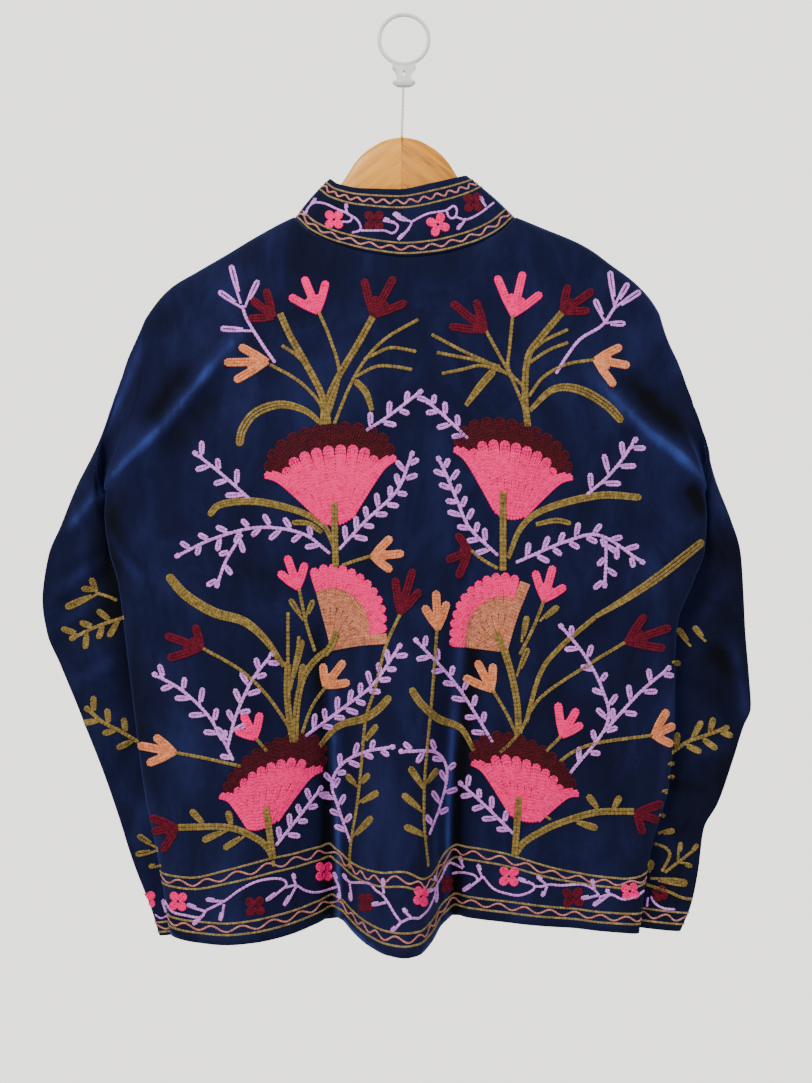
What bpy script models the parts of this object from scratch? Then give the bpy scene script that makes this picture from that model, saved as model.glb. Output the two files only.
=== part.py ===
"""Embroidered velvet jacket on a wooden hanger, hung by a ring clip with its back to the viewer.

Lengths in the tables are millimetres, in a frame with its origin at the inside top of the ring,
+Z up, the jacket's back towards -Y and +X to the right of someone who looks at the back.
"""

import bpy
import math
import numpy as np

for ob in list(bpy.context.scene.objects):
    bpy.data.objects.remove(ob, do_unlink=True)

MM = 0.001

# Named sizes, in millimetres.
CLOTH = 1.8
SEAM = 0.15
SIDE_ROUND = 26.0
SHOULDER_ROUND = 24.0
SIDE_Y = -8.0
UNDERARM_Y = -6.0
UNDERARM_Z = -426.0
NECK_HALF = 99.0
NECK_MID_X = 1.0
NECK_BACK_Y = -27.0
NECK_FRONT_Y = 27.0
COLLAR_TOP_HALF = 62.0
COLLAR_TOP_MID_X = -5.0
COLLAR_TOP_BACK_Y = -27.0
COLLAR_TOP_FRONT_Y = 22.0
FRONT_GAP = 3.0
HEM_RIGHT = 209.5
UNDERARM_V = 0.66
BACK_LOW_ROWS = 20
FRONT_LOW_ROWS = 13
BEHIND_FRONT = 3.2
CORNER_TILT = 0.75
SIDE_SEAM_RUN = 40.0
FOLD_OVER = 2.0
COLLAR_LIFT = 0.5
COLLAR_BULGE = 1.5
COLLAR_ROWS = 5
SLEEVE_SEAM = 0.45
ARMHOLE_RISE = 46.0
ARMHOLE_SPREAD = 34.0
TUCK = 12.0
TUCK_DROP = 28.0
SLEEVE_LEAST = 6.0
# The inner seam of each sleeve lies this many columns past the fold, on the hidden side.
CUT_LEFT = 2
CUT_RIGHT = 0
SLEEVE_ROUNDNESS = 0.8
SAG_OUT = 0.8
SAG_DOWN = 0.6
RING_MEAN = 22.3
RING_TUBE = 1.7
RING_STEPS = 44
RING_TUBE_STEPS = 10
CORD_RADIUS = 1.1
CORD_STEPS = 12
ARM_STEPS = 16
ARM_SQUARENESS = 0.6
HANGER_X = -2.0
HEM_Z = -821.0

# Plain colours and roughness of the solids.
NAVY = (0.010, 0.020, 0.075)
WOOD = (0.62, 0.36, 0.12)
WHITE = (0.80, 0.83, 0.84)
VELVET_ROUGHNESS = 0.85
WOOD_ROUGHNESS = 0.45
CORD_ROUGHNESS = 0.6
PLASTIC_ROUGHNESS = 0.35

# The back's depth. One row per height, one column per x.
BACK_X = (-200, -150, -110, -80, -61, -46, -30, -13, 0, 12, 23, 33, 42, 62, 95, 140, 190)
BACK_DEPTH = (
    # z, then y at each x of BACK_X
    (-826, -24, -30, -20, -2, 13, -10, -40, -62, -68, -60, -32, 0, 13, 0, -8, -15, -17),
    (-740, -24, -30, -22, -8, 5, -13, -38, -56, -61, -55, -33, -6, 6, -5, -14, -20, -20),
    (-660, -24, -29, -24, -16, -8, -18, -34, -47, -50, -46, -34, -17, -8, -13, -20, -24, -22),
    (-580, -24, -28, -26, -22, -19, -24, -32, -40, -42, -40, -34, -27, -22, -23, -25, -26, -24),
    (-500, -24, -28, -29, -28, -27, -29, -32, -35, -36, -35, -33, -31, -29, -28, -28, -28, -25),
    (-400, -24, -28, -30, -30, -30, -31, -32, -34, -34, -34, -33, -32, -31, -30, -30, -29, -26),
    (-300, -20, -24, -27, -29, -30, -31, -32, -32, -32, -32, -31, -31, -31, -30, -29, -26, -22),
    (-230, -15, -20, -25, -27, -28, -28, -28, -28, -28, -28, -28, -28, -28, -27, -26, -22, -17),
)
# The fronts' depth, the same way.
FRONT_X = (-250, -200, -150, -112, -80, -40, 0, 40, 80, 112, 150, 200, 250)
FRONT_DEPTH = (
    # z, then y at each x of FRONT_X
    (-826, 2, 3, 3, 4, 17, 26, 28, 27, 17, 4, 3, 3, 2),
    (-700, 2, 3, 3, 5, 17, 26, 28, 26, 17, 5, 3, 3, 2),
    (-600, 2, 3, 3, 5, 16, 25, 28, 25, 16, 5, 3, 3, 2),
    (-500, 3, 3, 3, 5, 15, 25, 27, 25, 15, 5, 3, 3, 3),
    (-430, 4, 4, 6, 9, 17, 25, 27, 25, 17, 9, 6, 4, 4),
    (-360, 10, 11, 13, 16, 21, 25, 26, 25, 21, 16, 13, 11, 10),
    (-280, 12, 14, 17, 19, 22, 24, 25, 24, 22, 19, 17, 14, 12),
    (-200, 12, 14, 17, 19, 21, 24, 25, 24, 21, 19, 17, 14, 12),
)
# Soft ridges and creases on the back.
BACK_FOLDS = (
    # from x, from z, to x, to z, half width, height towards the viewer
    (-150, -292, -250, -408, 20, 6.0),
    (157, -312, 254, -412, 20, 6.0),
    (-173, -268, -168, -302, 8, -3.0),
    (-128, -470, -150, -700, 26, 3.0),
    (120, -455, 150, -690, 26, 3.0),
    (-40, -300, -30, -520, 24, 2.0),
)
# The side seams below the underarm: x of the left and right edge at a height.
SIDE_EDGE = (
    # z, left x, right x
    (-830, -206, 208),
    (-772, -215, 215),
    (-740, -221, 221),
    (-690, -231, 235),
    (-636, -238, 240),
    (-570, -246, 241),
    (-545, -249, 243),
    (-508, -254, 257),
    (-480, -262, 267),
    (-448, -266, 269),
    (-426, -265, 267),
)
# The outline's top, from the left sleeve over the shoulders to the right sleeve.
TOP_EDGE = (
    # x, z
    (-330, -526),
    (-310, -458),
    (-294, -424),
    (-273, -385),
    (-252, -341),
    (-241, -300),
    (-230, -272),
    (-208, -245),
    (-185, -231),
    (-157, -215),
    (-130, -199),
    (-98, -183),
    (0, -150),
    (100, -183),
    (125, -193),
    (148, -202),
    (166, -211),
    (184, -224),
    (203, -238),
    (217, -252),
    (226, -266),
    (233, -284),
    (243, -325),
    (256, -351),
    (270, -388),
    (281, -419),
    (295, -452),
    (310, -526),
)
# The neck seam: its height across the back and across the front.
NECK_SEAM = (
    # share of the half width, z at the back, z at the front
    (-1.0, -183, -183),
    (-0.85, -199, -203),
    (-0.6, -212, -224),
    (-0.25, -221.5, -243),
    (0.0, -224.5, -248),
    (0.25, -222.5, -243),
    (0.6, -213, -224),
    (0.85, -199, -203),
    (1.0, -183, -183),
)
# The collar's top edge, the same way.
COLLAR_TOP = (
    # share of the half width, z at the back, z at the front
    (-1.0, -147, -147),
    (-0.85, -156, -160),
    (-0.5, -163, -176),
    (0.0, -165, -186),
    (0.5, -158, -176),
    (0.85, -150, -158),
    (1.0, -145, -145),
)
# The hem: its height along the back and along the fronts.
HEM = (
    # x, z at the back, z at the front
    (-207, -823, -823),
    (-157, -825, -824),
    (-130, -824, -824),
    (-97, -820, -822),
    (-62, -814, -820),
    (-39, -820, -820),
    (0, -819, -820),
    (23, -820, -820),
    (42, -813, -818),
    (65, -810, -817),
    (115, -811, -816),
    (149, -812, -815),
    (191, -815, -817),
    (210, -818, -818),
)
# Armholes: how far the seam bows in between shoulder tip and underarm.
ARMHOLE_BOW = 13.0
TIP_LEFT = (-230.0, -272.0)
TIP_RIGHT = (226.0, -266.0)
UNDERARM_LEFT = (-265.0, -426.0)
UNDERARM_RIGHT = (267.0, -426.0)
# Rows of the armhole, from the underarm to the tip.
ARMHOLE_ROWS = (1.0, 0.95, 0.87, 0.78, 0.69, 0.6, 0.51, 0.42, 0.33, 0.24, 0.15, 0.07, 0.02, 0.0)
# Columns of the back at the hem, close together at the two drape folds.
BACK_COLUMNS = (
    -207, -205.5, -201.5, -195, -186, -174, -158, -140, -122, -106, -94, -84, -76, -69, -63,
    -58, -53, -47, -40, -32, -23, -13, -3, 7, 15, 22, 27, 31.5, 36, 40, 44, 49, 55, 63, 74, 88,
    104, 122, 140, 158, 174, 187, 197, 203.5, 208, 209.5,
)
# Columns of the left front at the hem; the right front has them mirrored.
FRONT_COLUMNS = (
    -207, -205.5, -201.5, -195, -184, -168, -150, -132, -120, -110, -100, -90, -78, -64, -48,
    -32, -16,
)
# The sleeves, ring by ring from the armhole to the cuff.
SLEEVE_LEFT = (
    # outer x, outer z, outer y, inner x, inner z, inner y, sag, back depth, front depth
    (-241, -301, 0, -271, -430, 4, 5, 28, 14),
    (-249, -330, 0, -270, -438, 9, 11, 30, 16),
    (-261, -362, 1, -259, -450, 13, 14, 29, 18),
    (-277, -392, 3, -241, -464, 16, 13, 25, 18),
    (-295, -424, 5, -215, -484, 20, 7, 19, 16),
    (-310, -458, 7, -195, -506, 22, 0, 14, 14),
    (-322, -485, 8, -187, -525, 22, 0, 9, 12),
    (-328, -526, 9, -183, -545, 22, 0, 9, 12),
    (-324, -556, 10, -180, -560, 22, 0, 9, 12),
    (-312, -584, 10, -175, -576, 22, 0, 9, 12),
    (-296, -623, 10, -166, -602, 22, 0, 8, 12),
    (-285, -651, 10, -160, -626, 22, 0, 8, 12),
    (-274, -679, 10, -153, -651, 22, 0, 8, 12),
    (-260, -719, 10, -143, -693, 22, 0, 8, 12),
    (-246, -763, 10, -132, -741, 22, 0, 8, 12),
    (-229, -807, 10, -120, -789, 22, 0, 8, 12),
    (-222, -830, 10, -115, -816, 22, 0, 8, 12),
)
SLEEVE_RIGHT = (
    # outer x, outer z, outer y, inner x, inner z, inner y, sag, back depth, front depth
    (234, -290, 0, 274, -430, 4, 5, 28, 14),
    (243, -325, 0, 274, -438, 9, 11, 30, 16),
    (256, -351, 1, 262, -450, 13, 14, 29, 18),
    (270, -388, 3, 243, -464, 16, 13, 25, 18),
    (281, -419, 5, 217, -486, 20, 7, 19, 16),
    (295, -452, 7, 194, -509, 22, 0, 14, 14),
    (305, -483, 8, 183, -530, 22, 0, 9, 12),
    (308, -522, 9, 177, -551, 22, 0, 9, 12),
    (310, -556, 10, 175, -568, 22, 0, 9, 12),
    (313, -592, 10, 174, -583, 22, 0, 8, 12),
    (315, -622, 10, 173, -598, 22, 0, 8, 12),
    (308, -641, 10, 171, -614, 22, 0, 8, 12),
    (298, -673, 10, 167, -634, 22, 0, 8, 12),
    (285, -710, 10, 160, -664, 22, 0, 8, 12),
    (272, -734, 10, 155, -693, 22, 0, 8, 12),
    (267, -772, 10, 147, -737, 22, 0, 8, 12),
    (261, -801, 10, 142, -777, 22, 0, 8, 12),
    (251, -826, 10, 136, -815, 22, 0, 8, 12),
)
# Creases on the sleeves' back side.
SLEEVE_FOLDS = (
    # from x, from z, to x, to z, half width, height towards the viewer
    (-322, -548, -262, -500, 9, -5.0),
    (-318, -500, -272, -470, 8, 3.5),
    (-310, -590, -250, -560, 8, 3.0),
    (308, -560, 262, -520, 9, -4.0),
    (296, -566, 304, -640, 9, 5.0),
    (292, -640, 262, -600, 9, -4.0),
    (272, -730, 240, -745, 9, -4.5),
)
# The hanger's arm, from the mitre in the middle to its tip.
ARM = (
    # distance from the middle, top z, bottom z, half thickness
    (0, -109, -165, 6.8),
    (9, -110, -165.5, 6.8),
    (17, -112.5, -166.5, 6.8),
    (25, -117, -168, 6.8),
    (33, -122.5, -170, 6.8),
    (41, -131, -174, 6.8),
    (48, -142, -180, 6.7),
    (58, -157, -190, 6.5),
    (72, -174, -202, 6.2),
    (85, -188, -212, 6.0),
    (97, -197, -219, 5.8),
    (112, -204, -225, 5.6),
    (150, -220, -242, 5.4),
    (182, -240, -258, 5.0),
    (200, -252, -267, 4.6),
    (206, -256, -267, 3.6),
)
ARM_PLACES = (0, 6, 12, 18, 24, 30, 36, 42, 48, 56, 66, 78, 90, 104, 122, 142, 164, 184, 199, 206)
# The clip's plate under the ring: half width at a height, then its slot.
PLATE = (
    # z, half width
    (-46.0, 10.5),
    (-49.0, 8.0),
    (-53.0, 6.6),
    (-57.5, 6.2),
)
PLATE_HALF_THICK = 2.4
PLATE_ARC_STEPS = 9
PLATE_ARC_HALF_DEGREES = 26.0
PLATE_GAP = 0.3
SLOT_Z = -52.0
SLOT_HALF_WIDTH = 1.5
SLOT_HALF_HEIGHT = 3.0
# The clip's foot, from its top down, and how flat it is from front to back.
FOOT = (
    # radius, z
    (0.0, -57.8),
    (9.5, -57.8),
    (10.3, -58.6),
    (10.3, -60.2),
    (7.5, -62.6),
    (0.0, -62.6),
)
FOOT_STEPS = 24
FOOT_FLATNESS = 0.42
# The cord, from under the foot to the top of the mitre.
CORD_ENDS = (
    # x, z
    (-0.6, -62.9),
    (-2.0, -108.4),
)


def smooth(xs, ys, x):
    """A smooth curve through the points of a table that never overshoots them."""
    xs = np.asarray(xs, float)
    ys = np.asarray(ys, float)
    x = np.clip(np.asarray(x, float), xs[0], xs[-1])
    step = np.diff(xs)
    rise = np.diff(ys, axis=0) / (step if ys.ndim == 1 else step[:, None])
    slope = np.zeros_like(ys)
    same = rise[:-1] * rise[1:] > 0
    both = np.where(same, rise[:-1] + rise[1:], 1.0)
    slope[1:-1] = np.where(same, 2 * rise[:-1] * rise[1:] / both, 0.0)
    slope[0] = rise[0]
    slope[-1] = rise[-1]
    i = np.clip(np.searchsorted(xs, x) - 1, 0, len(step) - 1)
    h = step[i]
    t = (x - xs[i]) / h
    a = ys[i]
    b = ys[i + 1]
    p = slope[i]
    q = slope[i + 1]
    if ys.ndim > 1:
        t = t[..., None]
        h = h[..., None]
    return (
        a * (1 + 2 * t) * (1 - t) ** 2
        + b * t * t * (3 - 2 * t)
        + h * (p * t * (1 - t) ** 2 - q * t * t * (1 - t))
    )


def columns(table):
    """A table's columns, in rising order of the first."""
    rows = sorted(table)
    return [np.array(c, float) for c in zip(*rows)]


def depth(table, xs, x, z):
    """Reads a depth table at x and z."""
    rows = sorted(table)
    heights = [r[0] for r in rows]
    values = np.array([r[1:] for r in rows], float)
    across = np.array([smooth(xs, row, x) for row in values])
    z = np.clip(z, heights[0], heights[-1])
    i = np.clip(np.searchsorted(heights, z) - 1, 0, len(heights) - 2)
    low = np.take(heights, i)
    high = np.take(heights, i + 1)
    t = (z - low) / (high - low)
    t = t * t * (3 - 2 * t) * 0.5 + t * 0.5
    a = np.take_along_axis(across, i[None], 0)[0]
    b = np.take_along_axis(across, i[None] + 1, 0)[0]
    return a + (b - a) * t


def folds(table, x, z):
    """The height of all ridges of a table at x and z; a crease is negative."""
    out = np.zeros_like(x)
    for x0, z0, x1, z1, half, height in table:
        dx = x1 - x0
        dz = z1 - z0
        long = math.hypot(dx, dz)
        along = ((x - x0) * dx + (z - z0) * dz) / (long * long)
        across = ((x - x0) * dz - (z - z0) * dx) / long
        fade = np.clip(np.minimum(along, 1 - along) * 3 + 0.35, 0, 1)
        fade = fade * fade * (3 - 2 * fade)
        out += height * fade * np.exp(-((across / half) ** 2))
    return out


def rounding(q):
    """A quarter circle from 0 at an edge to 1 where the cloth lies flat."""
    q = np.clip(q, 0, 1)
    return np.sqrt(np.maximum(1 - (1 - q) ** 2, 0))


def side_edges(z):
    """The body's left and right edge at a height."""
    hz, left, right = columns(SIDE_EDGE)
    return smooth(hz, left, z), smooth(hz, right, z)


def armhole(side, s):
    """A point of the armhole seam, from 0 at the shoulder tip to 1 at the underarm."""
    tip, under = (TIP_LEFT, UNDERARM_LEFT) if side < 0 else (TIP_RIGHT, UNDERARM_RIGHT)
    bow = ARMHOLE_BOW * np.sin(math.pi * s)
    x = tip[0] + (under[0] - tip[0]) * s - side * bow
    z = tip[1] + (under[1] - tip[1]) * s
    return x, z


def body_room(x, z, spread):
    """How far a point lies inside the body's sides; the armholes may be moved out by a spread."""
    left, right = side_edges(np.minimum(z, UNDERARM_Z))
    above = z > UNDERARM_Z
    s_left = (z - TIP_LEFT[1]) / (UNDERARM_LEFT[1] - TIP_LEFT[1])
    s_right = (z - TIP_RIGHT[1]) / (UNDERARM_RIGHT[1] - TIP_RIGHT[1])
    arm_left = armhole(-1, np.clip(s_left, 0, 1))[0]
    arm_right = armhole(1, np.clip(s_right, 0, 1))[0]
    left = np.where(above, arm_left - spread, left)
    right = np.where(above, arm_right + spread, right)
    return np.minimum(x - left, right - x)


def edge_room(x, z):
    """How far a point lies inside the side edge, which opens into the sleeves above the underarm."""
    up = np.clip((z - UNDERARM_Z) / ARMHOLE_RISE, 0, 1)
    return body_room(x, z, ARMHOLE_SPREAD * up)


def neck_height(x, front):
    """The neck seam's height at x."""
    share, back, fore = columns(NECK_SEAM)
    return smooth(share, fore if front else back, (x - NECK_MID_X) / NECK_HALF)


def top_height(x, front):
    """The height of the cloth's top at x: the neck seam, the shoulders or the sleeves."""
    tx, tz = columns(TOP_EDGE)
    inside = np.abs(x - NECK_MID_X) < NECK_HALF
    return np.where(inside, neck_height(x, front), np.interp(x, tx, tz))


def top_y(x, front):
    """The depth of the cloth's top edge at x."""
    q = np.clip((x - NECK_MID_X) / NECK_HALF, -1, 1)
    reach = NECK_FRONT_Y if front else NECK_BACK_Y
    return reach * np.sqrt(np.maximum(1 - q * q, 0))


def side_y(z):
    """The depth of the side seam at a height."""
    t = np.clip((UNDERARM_Z - z) / SIDE_SEAM_RUN, 0, 1)
    return UNDERARM_Y + (SIDE_Y - UNDERARM_Y) * t


def cloth_y(x, z, front):
    """The depth of the body's cloth at x and z."""
    x = np.asarray(x, float)
    z = np.asarray(z, float)
    if front:
        flat = depth(FRONT_DEPTH, FRONT_X, x, z)
    else:
        flat = depth(BACK_DEPTH, BACK_X, x, z) - folds(BACK_FOLDS, x, z)
    start = side_y(z)
    y = start + (flat - start) * rounding(edge_room(x, z) / SIDE_ROUND)
    top = top_y(x, front)
    below = top_height(x, front) - z
    return top + (y - top) * rounding(below / SHOULDER_ROUND)


def coons(bottom, top, left, right, us, vs):
    """Fills four edge curves with a net of points."""
    u = us[:, None, None]
    v = vs[None, :, None]
    b = bottom(us)[:, None, :]
    t = top(us)[:, None, :]
    l = left(vs)[None, :, :]
    r = right(vs)[None, :, :]
    ends = np.array([0.0, 1.0])
    b0, b1 = bottom(ends)
    t0, t1 = top(ends)
    corners = (1 - u) * (1 - v) * b0 + u * (1 - v) * b1 + (1 - u) * v * t0 + u * v * t1
    return (1 - v) * b + v * t + (1 - u) * l + u * r - corners


def side_line(side, xs_inset):
    """A panel's side: the side seam up to the underarm and then the armhole up to the tip."""

    def line(v):
        low = np.clip(v / UNDERARM_V, 0, 1)
        z = HEM_Z + (UNDERARM_Z - HEM_Z) * low
        left, right = side_edges(z)
        x = left if side < 0 else right
        s = 1 - np.clip((v - UNDERARM_V) / (1 - UNDERARM_V), 0, 1)
        ax, az = armhole(side, s)
        up = v > UNDERARM_V
        return np.stack([np.where(up, ax, x) - side * xs_inset, np.where(up, az, z)], axis=-1)

    return line


def hem_height(x, front):
    """The hem's height at x."""
    hx, back, fore = columns(HEM)
    return smooth(hx, fore if front else back, x)


def normals_of(points):
    """The unit normals of a net of points."""
    du = np.gradient(points, axis=0)
    dv = np.gradient(points, axis=1)
    n = np.cross(du, dv)
    return n / np.maximum(np.linalg.norm(n, axis=2, keepdims=True), 1e-9)


def shell_mesh(points, normals, thickness):
    """A closed wall of cloth from a net of mid points."""
    nu, nv = points.shape[:2]
    outer = points + normals * thickness / 2
    inner = points - normals * thickness / 2
    verts = np.concatenate([outer.reshape(-1, 3), inner.reshape(-1, 3)]) * MM
    off = nu * nv
    faces = []
    for i in range(nu - 1):
        for k in range(nv - 1):
            a = i * nv + k
            b = a + nv
            faces.append((a, b, b + 1, a + 1))
            faces.append((off + a, off + a + 1, off + b + 1, off + b))
        for k in (0, nv - 1):
            a = i * nv + k
            b = a + nv
            faces.append((a, off + a, off + b, b) if k == 0 else (a, b, off + b, off + a))
    for k in range(nv - 1):
        b = (nu - 1) * nv + k
        faces.append((k, k + 1, off + k + 1, off + k))
        faces.append((b, off + b, off + b + 1, b + 1))
    return verts, faces


def add_object(name, verts, faces, colour, roughness, crisp=False):
    """Adds a closed mesh with its own material, its faces turned outwards."""
    verts = np.asarray(verts, float)
    tri = [(f[0], f[i], f[i + 1]) for f in faces for i in range(1, len(f) - 1)]
    t = np.array(tri)
    a, b, c = verts[t[:, 0]], verts[t[:, 1]], verts[t[:, 2]]
    volume = float((a * np.cross(b, c)).sum() / 6)
    if volume < 0:
        faces = [tuple(reversed(f)) for f in faces]
    mesh = bpy.data.meshes.new(name)
    mesh.from_pydata([tuple(v) for v in verts], [], [tuple(f) for f in faces])
    mesh.update()
    mesh.polygons.foreach_set("use_smooth", [not crisp] * len(mesh.polygons))
    ob = bpy.data.objects.new(name, mesh)
    bpy.context.scene.collection.objects.link(ob)
    mat = bpy.data.materials.new(name)
    mat.use_nodes = True
    shader = mat.node_tree.nodes["Principled BSDF"]
    shader.inputs["Base Color"].default_value = (*colour, 1.0)
    shader.inputs["Roughness"].default_value = roughness
    mesh.materials.append(mat)
    return ob


def neck_normal(x, front):
    """The direction that the cloth faces along the neck seam."""
    q = (x - NECK_MID_X) / NECK_HALF
    reach = NECK_FRONT_Y if front else NECK_BACK_Y
    side = np.sqrt(np.maximum(1 - q * q, 0))
    n = np.stack([q / NECK_HALF, side / reach, np.zeros_like(q)], axis=-1)
    n = n / np.maximum(np.linalg.norm(n, axis=-1, keepdims=True), 1e-9)
    tilt = CORNER_TILT * q**8
    n = n * np.sqrt(1 - tilt**2)[..., None]
    n[..., 2] += tilt
    return n


def cloth_normal(x, z, front):
    """The direction that the body's cloth faces at x and z."""
    h = 1.5
    dx = (cloth_y(x + h, z, front) - cloth_y(x - h, z, front)) / (2 * h)
    dz = (cloth_y(x, z + h, front) - cloth_y(x, z - h, front)) / (2 * h)
    way = 1.0 if front else -1.0
    n = np.stack([-dx * way, np.full_like(dx, way), -dz * way], axis=-1)
    return n / np.linalg.norm(n, axis=-1, keepdims=True)


def armhole_normals(side, s, front):
    """The direction that the cloth faces along the armhole seam, from 0 at the tip."""
    s = np.asarray(s, float)
    x, z = armhole(side, s)
    n = cloth_normal(x, z, front)
    n[s < 0.01] = (side * 0.6, 0.0, 0.8)
    n[s > 0.99] = (side * 0.6, 0.0, -0.8)
    return n


def body_panel(name, hem_x, top_x, front, open_a, open_b):
    """One panel of the body, from the columns' places at the hem and at the top."""
    hem_x = np.asarray(hem_x, float)
    us = (hem_x - hem_x[0]) / (hem_x[-1] - hem_x[0])
    vs = row_places(front)

    def bottom(u):
        x = hem_x[0] + (hem_x[-1] - hem_x[0]) * u
        return np.stack([x, hem_height(x, front)], axis=-1)

    def top(u):
        x = np.interp(u, us, top_x)
        return np.stack([x, top_height(x, front) - SEAM], axis=-1)

    def middle(x):
        low = float(hem_height(np.array([x]), front)[0])
        high = float(top_height(np.array([x]), front)[0]) - SEAM

        def line(v):
            return np.stack([np.full_like(v, x), low + (high - low) * v], axis=-1)

        return line

    left = middle(hem_x[0]) if open_a else side_line(-1, SEAM)
    right = middle(hem_x[-1]) if open_b else side_line(1, SEAM)
    flat = coons(bottom, top, left, right, us, vs)
    x = flat[..., 0]
    z = flat[..., 1]
    points = np.stack([x, cloth_y(x, z, front), z], axis=-1)
    normals = seam_normals(points, normals_of(points), front, open_a, open_b)
    points = seam_gaps(points, front, open_a, open_b)
    verts, faces = shell_mesh(points, normals, CLOTH)
    return add_object(name, verts, faces, NAVY, VELVET_ROUGHNESS)


def seam_normals(points, normals, front, open_a, open_b):
    """At a seam both sides face the same way, so that their walls meet without crossing."""
    out = normals * (1.0 if (normals[..., 1].mean() > 0) == front else -1.0)
    x = points[..., 0]
    z = points[..., 2]
    neck = np.abs(x[:, -1] - NECK_MID_X) < NECK_HALF + 0.5
    out[neck, -1] = neck_normal(x[neck, -1], front)
    for i in np.where(~neck)[0]:
        t = points[min(i + 1, len(x) - 1), -1] - points[max(i - 1, 0), -1]
        n = np.array([-t[2], 0.0, t[0]])
        out[i, -1] = n / np.linalg.norm(n)
    arm = np.array(ARMHOLE_ROWS)
    for column, open_side, side in ((0, open_a, -1), (-1, open_b, 1)):
        if open_side:
            continue
        out[column, -len(arm) :] = armhole_normals(side, arm, front)
        for k in range(points.shape[1] - len(arm)):
            t = points[column, k + 1] - points[column, max(k - 1, 0)]
            n = np.array([t[2], 0.0, -t[0]]) * side
            out[column, k] = n / np.linalg.norm(n)
    return out


def seam_gaps(points, front, open_a, open_b):
    """Moves the edges that meet the other panel along the side and shoulder seams apart."""
    out = points.copy()
    shift = SEAM if front else -SEAM
    x = points[..., 0]
    z = points[..., 2]
    shoulder = np.abs(x[:, -1] - NECK_MID_X) >= NECK_HALF - 0.5
    out[shoulder, -1, 1] += shift
    for column, open_side in ((0, open_a), (-1, open_b)):
        if open_side:
            continue
        low = z[column] < UNDERARM_Z + FOLD_OVER
        out[column, low, 1] += shift
    return out


def row_places(front):
    """Row places from the hem up: even below the underarm, then those of the armhole."""
    low = np.linspace(0, UNDERARM_V, FRONT_LOW_ROWS if front else BACK_LOW_ROWS)
    return np.concatenate([low[:-1], UNDERARM_V + (1 - UNDERARM_V) * (1 - np.array(ARMHOLE_ROWS))])


def top_places(hem_x, first, last):
    """The columns' places at the top, with one on each corner of the neck."""
    hem_x = np.asarray(hem_x, float)
    top = first + (last - first) * (hem_x - hem_x[0]) / (hem_x[-1] - hem_x[0])
    for corner in (NECK_MID_X - NECK_HALF, NECK_MID_X + NECK_HALF):
        if top[0] < corner < top[-1]:
            top[np.argmin(np.abs(top - corner))] = corner
    return top


def make_back():
    """The back, in one piece from side seam to side seam."""
    top_x = top_places(BACK_COLUMNS, TIP_LEFT[0], TIP_RIGHT[0])
    return body_panel("back_panel", BACK_COLUMNS, top_x, False, False, False)


def front_places():
    """The columns of both fronts, at the hem and at the top."""
    half = FRONT_GAP / 2
    left = np.array(FRONT_COLUMNS + (-half,), float)
    right = HEM_RIGHT - (left[::-1] - left[0]) * (HEM_RIGHT - half) / (left[-1] - left[0])
    left_top = top_places(left, TIP_LEFT[0], -half)
    right_top = top_places(right, half, TIP_RIGHT[0])
    return left, left_top, right, right_top


def make_fronts():
    """The two fronts, which nearly meet at the middle."""
    left, left_top, right, right_top = front_places()
    body_panel("front_left", left, left_top, True, False, True)
    body_panel("front_right", right, right_top, True, True, False)


def make_sleeve(name, side, table, past_fold):
    """A flattened tube from the armhole down behind the body, cut as an upper and an under piece."""
    rows = np.array(ARMHOLE_ROWS[::-1])
    share = np.concatenate([rows, rows[-2:0:-1]])
    swing = 2 * np.sqrt(share * (1 - share))
    back = np.arange(len(share)) < len(rows)
    swing[~back] *= -1
    x, z = armhole(side, share)
    y = np.where(back, cloth_y(x, z, False), cloth_y(x, z, True))
    y[share < 0.01] = 0.0
    y[share > 0.99] = UNDERARM_Y
    rings = [np.stack([x + side * SLEEVE_SEAM, y, z - SEAM], axis=-1)]
    for ox, oz, oy, ix, iz, iy, sag, deep, fore in table:
        bow = sag * np.sin(math.pi * share)
        px = ox + (ix - ox) * share + side * bow * SAG_OUT
        pz = oz + (iz - oz) * share - bow * SAG_DOWN
        full = np.sign(swing) * np.abs(swing) ** SLEEVE_ROUNDNESS
        full = np.where(swing > 0, full * (1 - share**2), full)
        py = oy + (iy - oy) * share - np.where(swing > 0, deep, fore) * full
        py = py - folds(SLEEVE_FOLDS, px, pz) * np.clip(swing * 1.5, 0, 1)
        hidden = np.clip(body_room(px, pz, 0.0) / TUCK + 1.2, 0, 1)
        floor = depth(FRONT_DEPTH, FRONT_X, px, pz) + BEHIND_FRONT - (1 - hidden) * TUCK_DROP
        py = np.maximum(py, np.where(swing > 0, floor, floor + SLEEVE_LEAST))
        rings.append(np.stack([px, py, pz], axis=-1))
    points = np.stack(rings, axis=1)
    wrap = np.concatenate([points[-1:], points, points[:1]])
    normals = normals_of(wrap)[1:-1]
    centre = points.mean(axis=0, keepdims=True)
    if ((points - centre) * normals).sum(axis=2).mean() < 0:
        normals = -normals
    normals[back, 0] = armhole_normals(side, share[back], False)
    normals[~back, 0] = armhole_normals(side, share[~back], True)
    cut = len(rows) - 1 + past_fold
    sleeve_half(name + "_upper", points[: cut + 1], normals[: cut + 1])
    under = np.concatenate([points[cut:], points[:1]])
    under_normals = np.concatenate([normals[cut:], normals[:1]])
    sleeve_half(name + "_under", under, under_normals)


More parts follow.
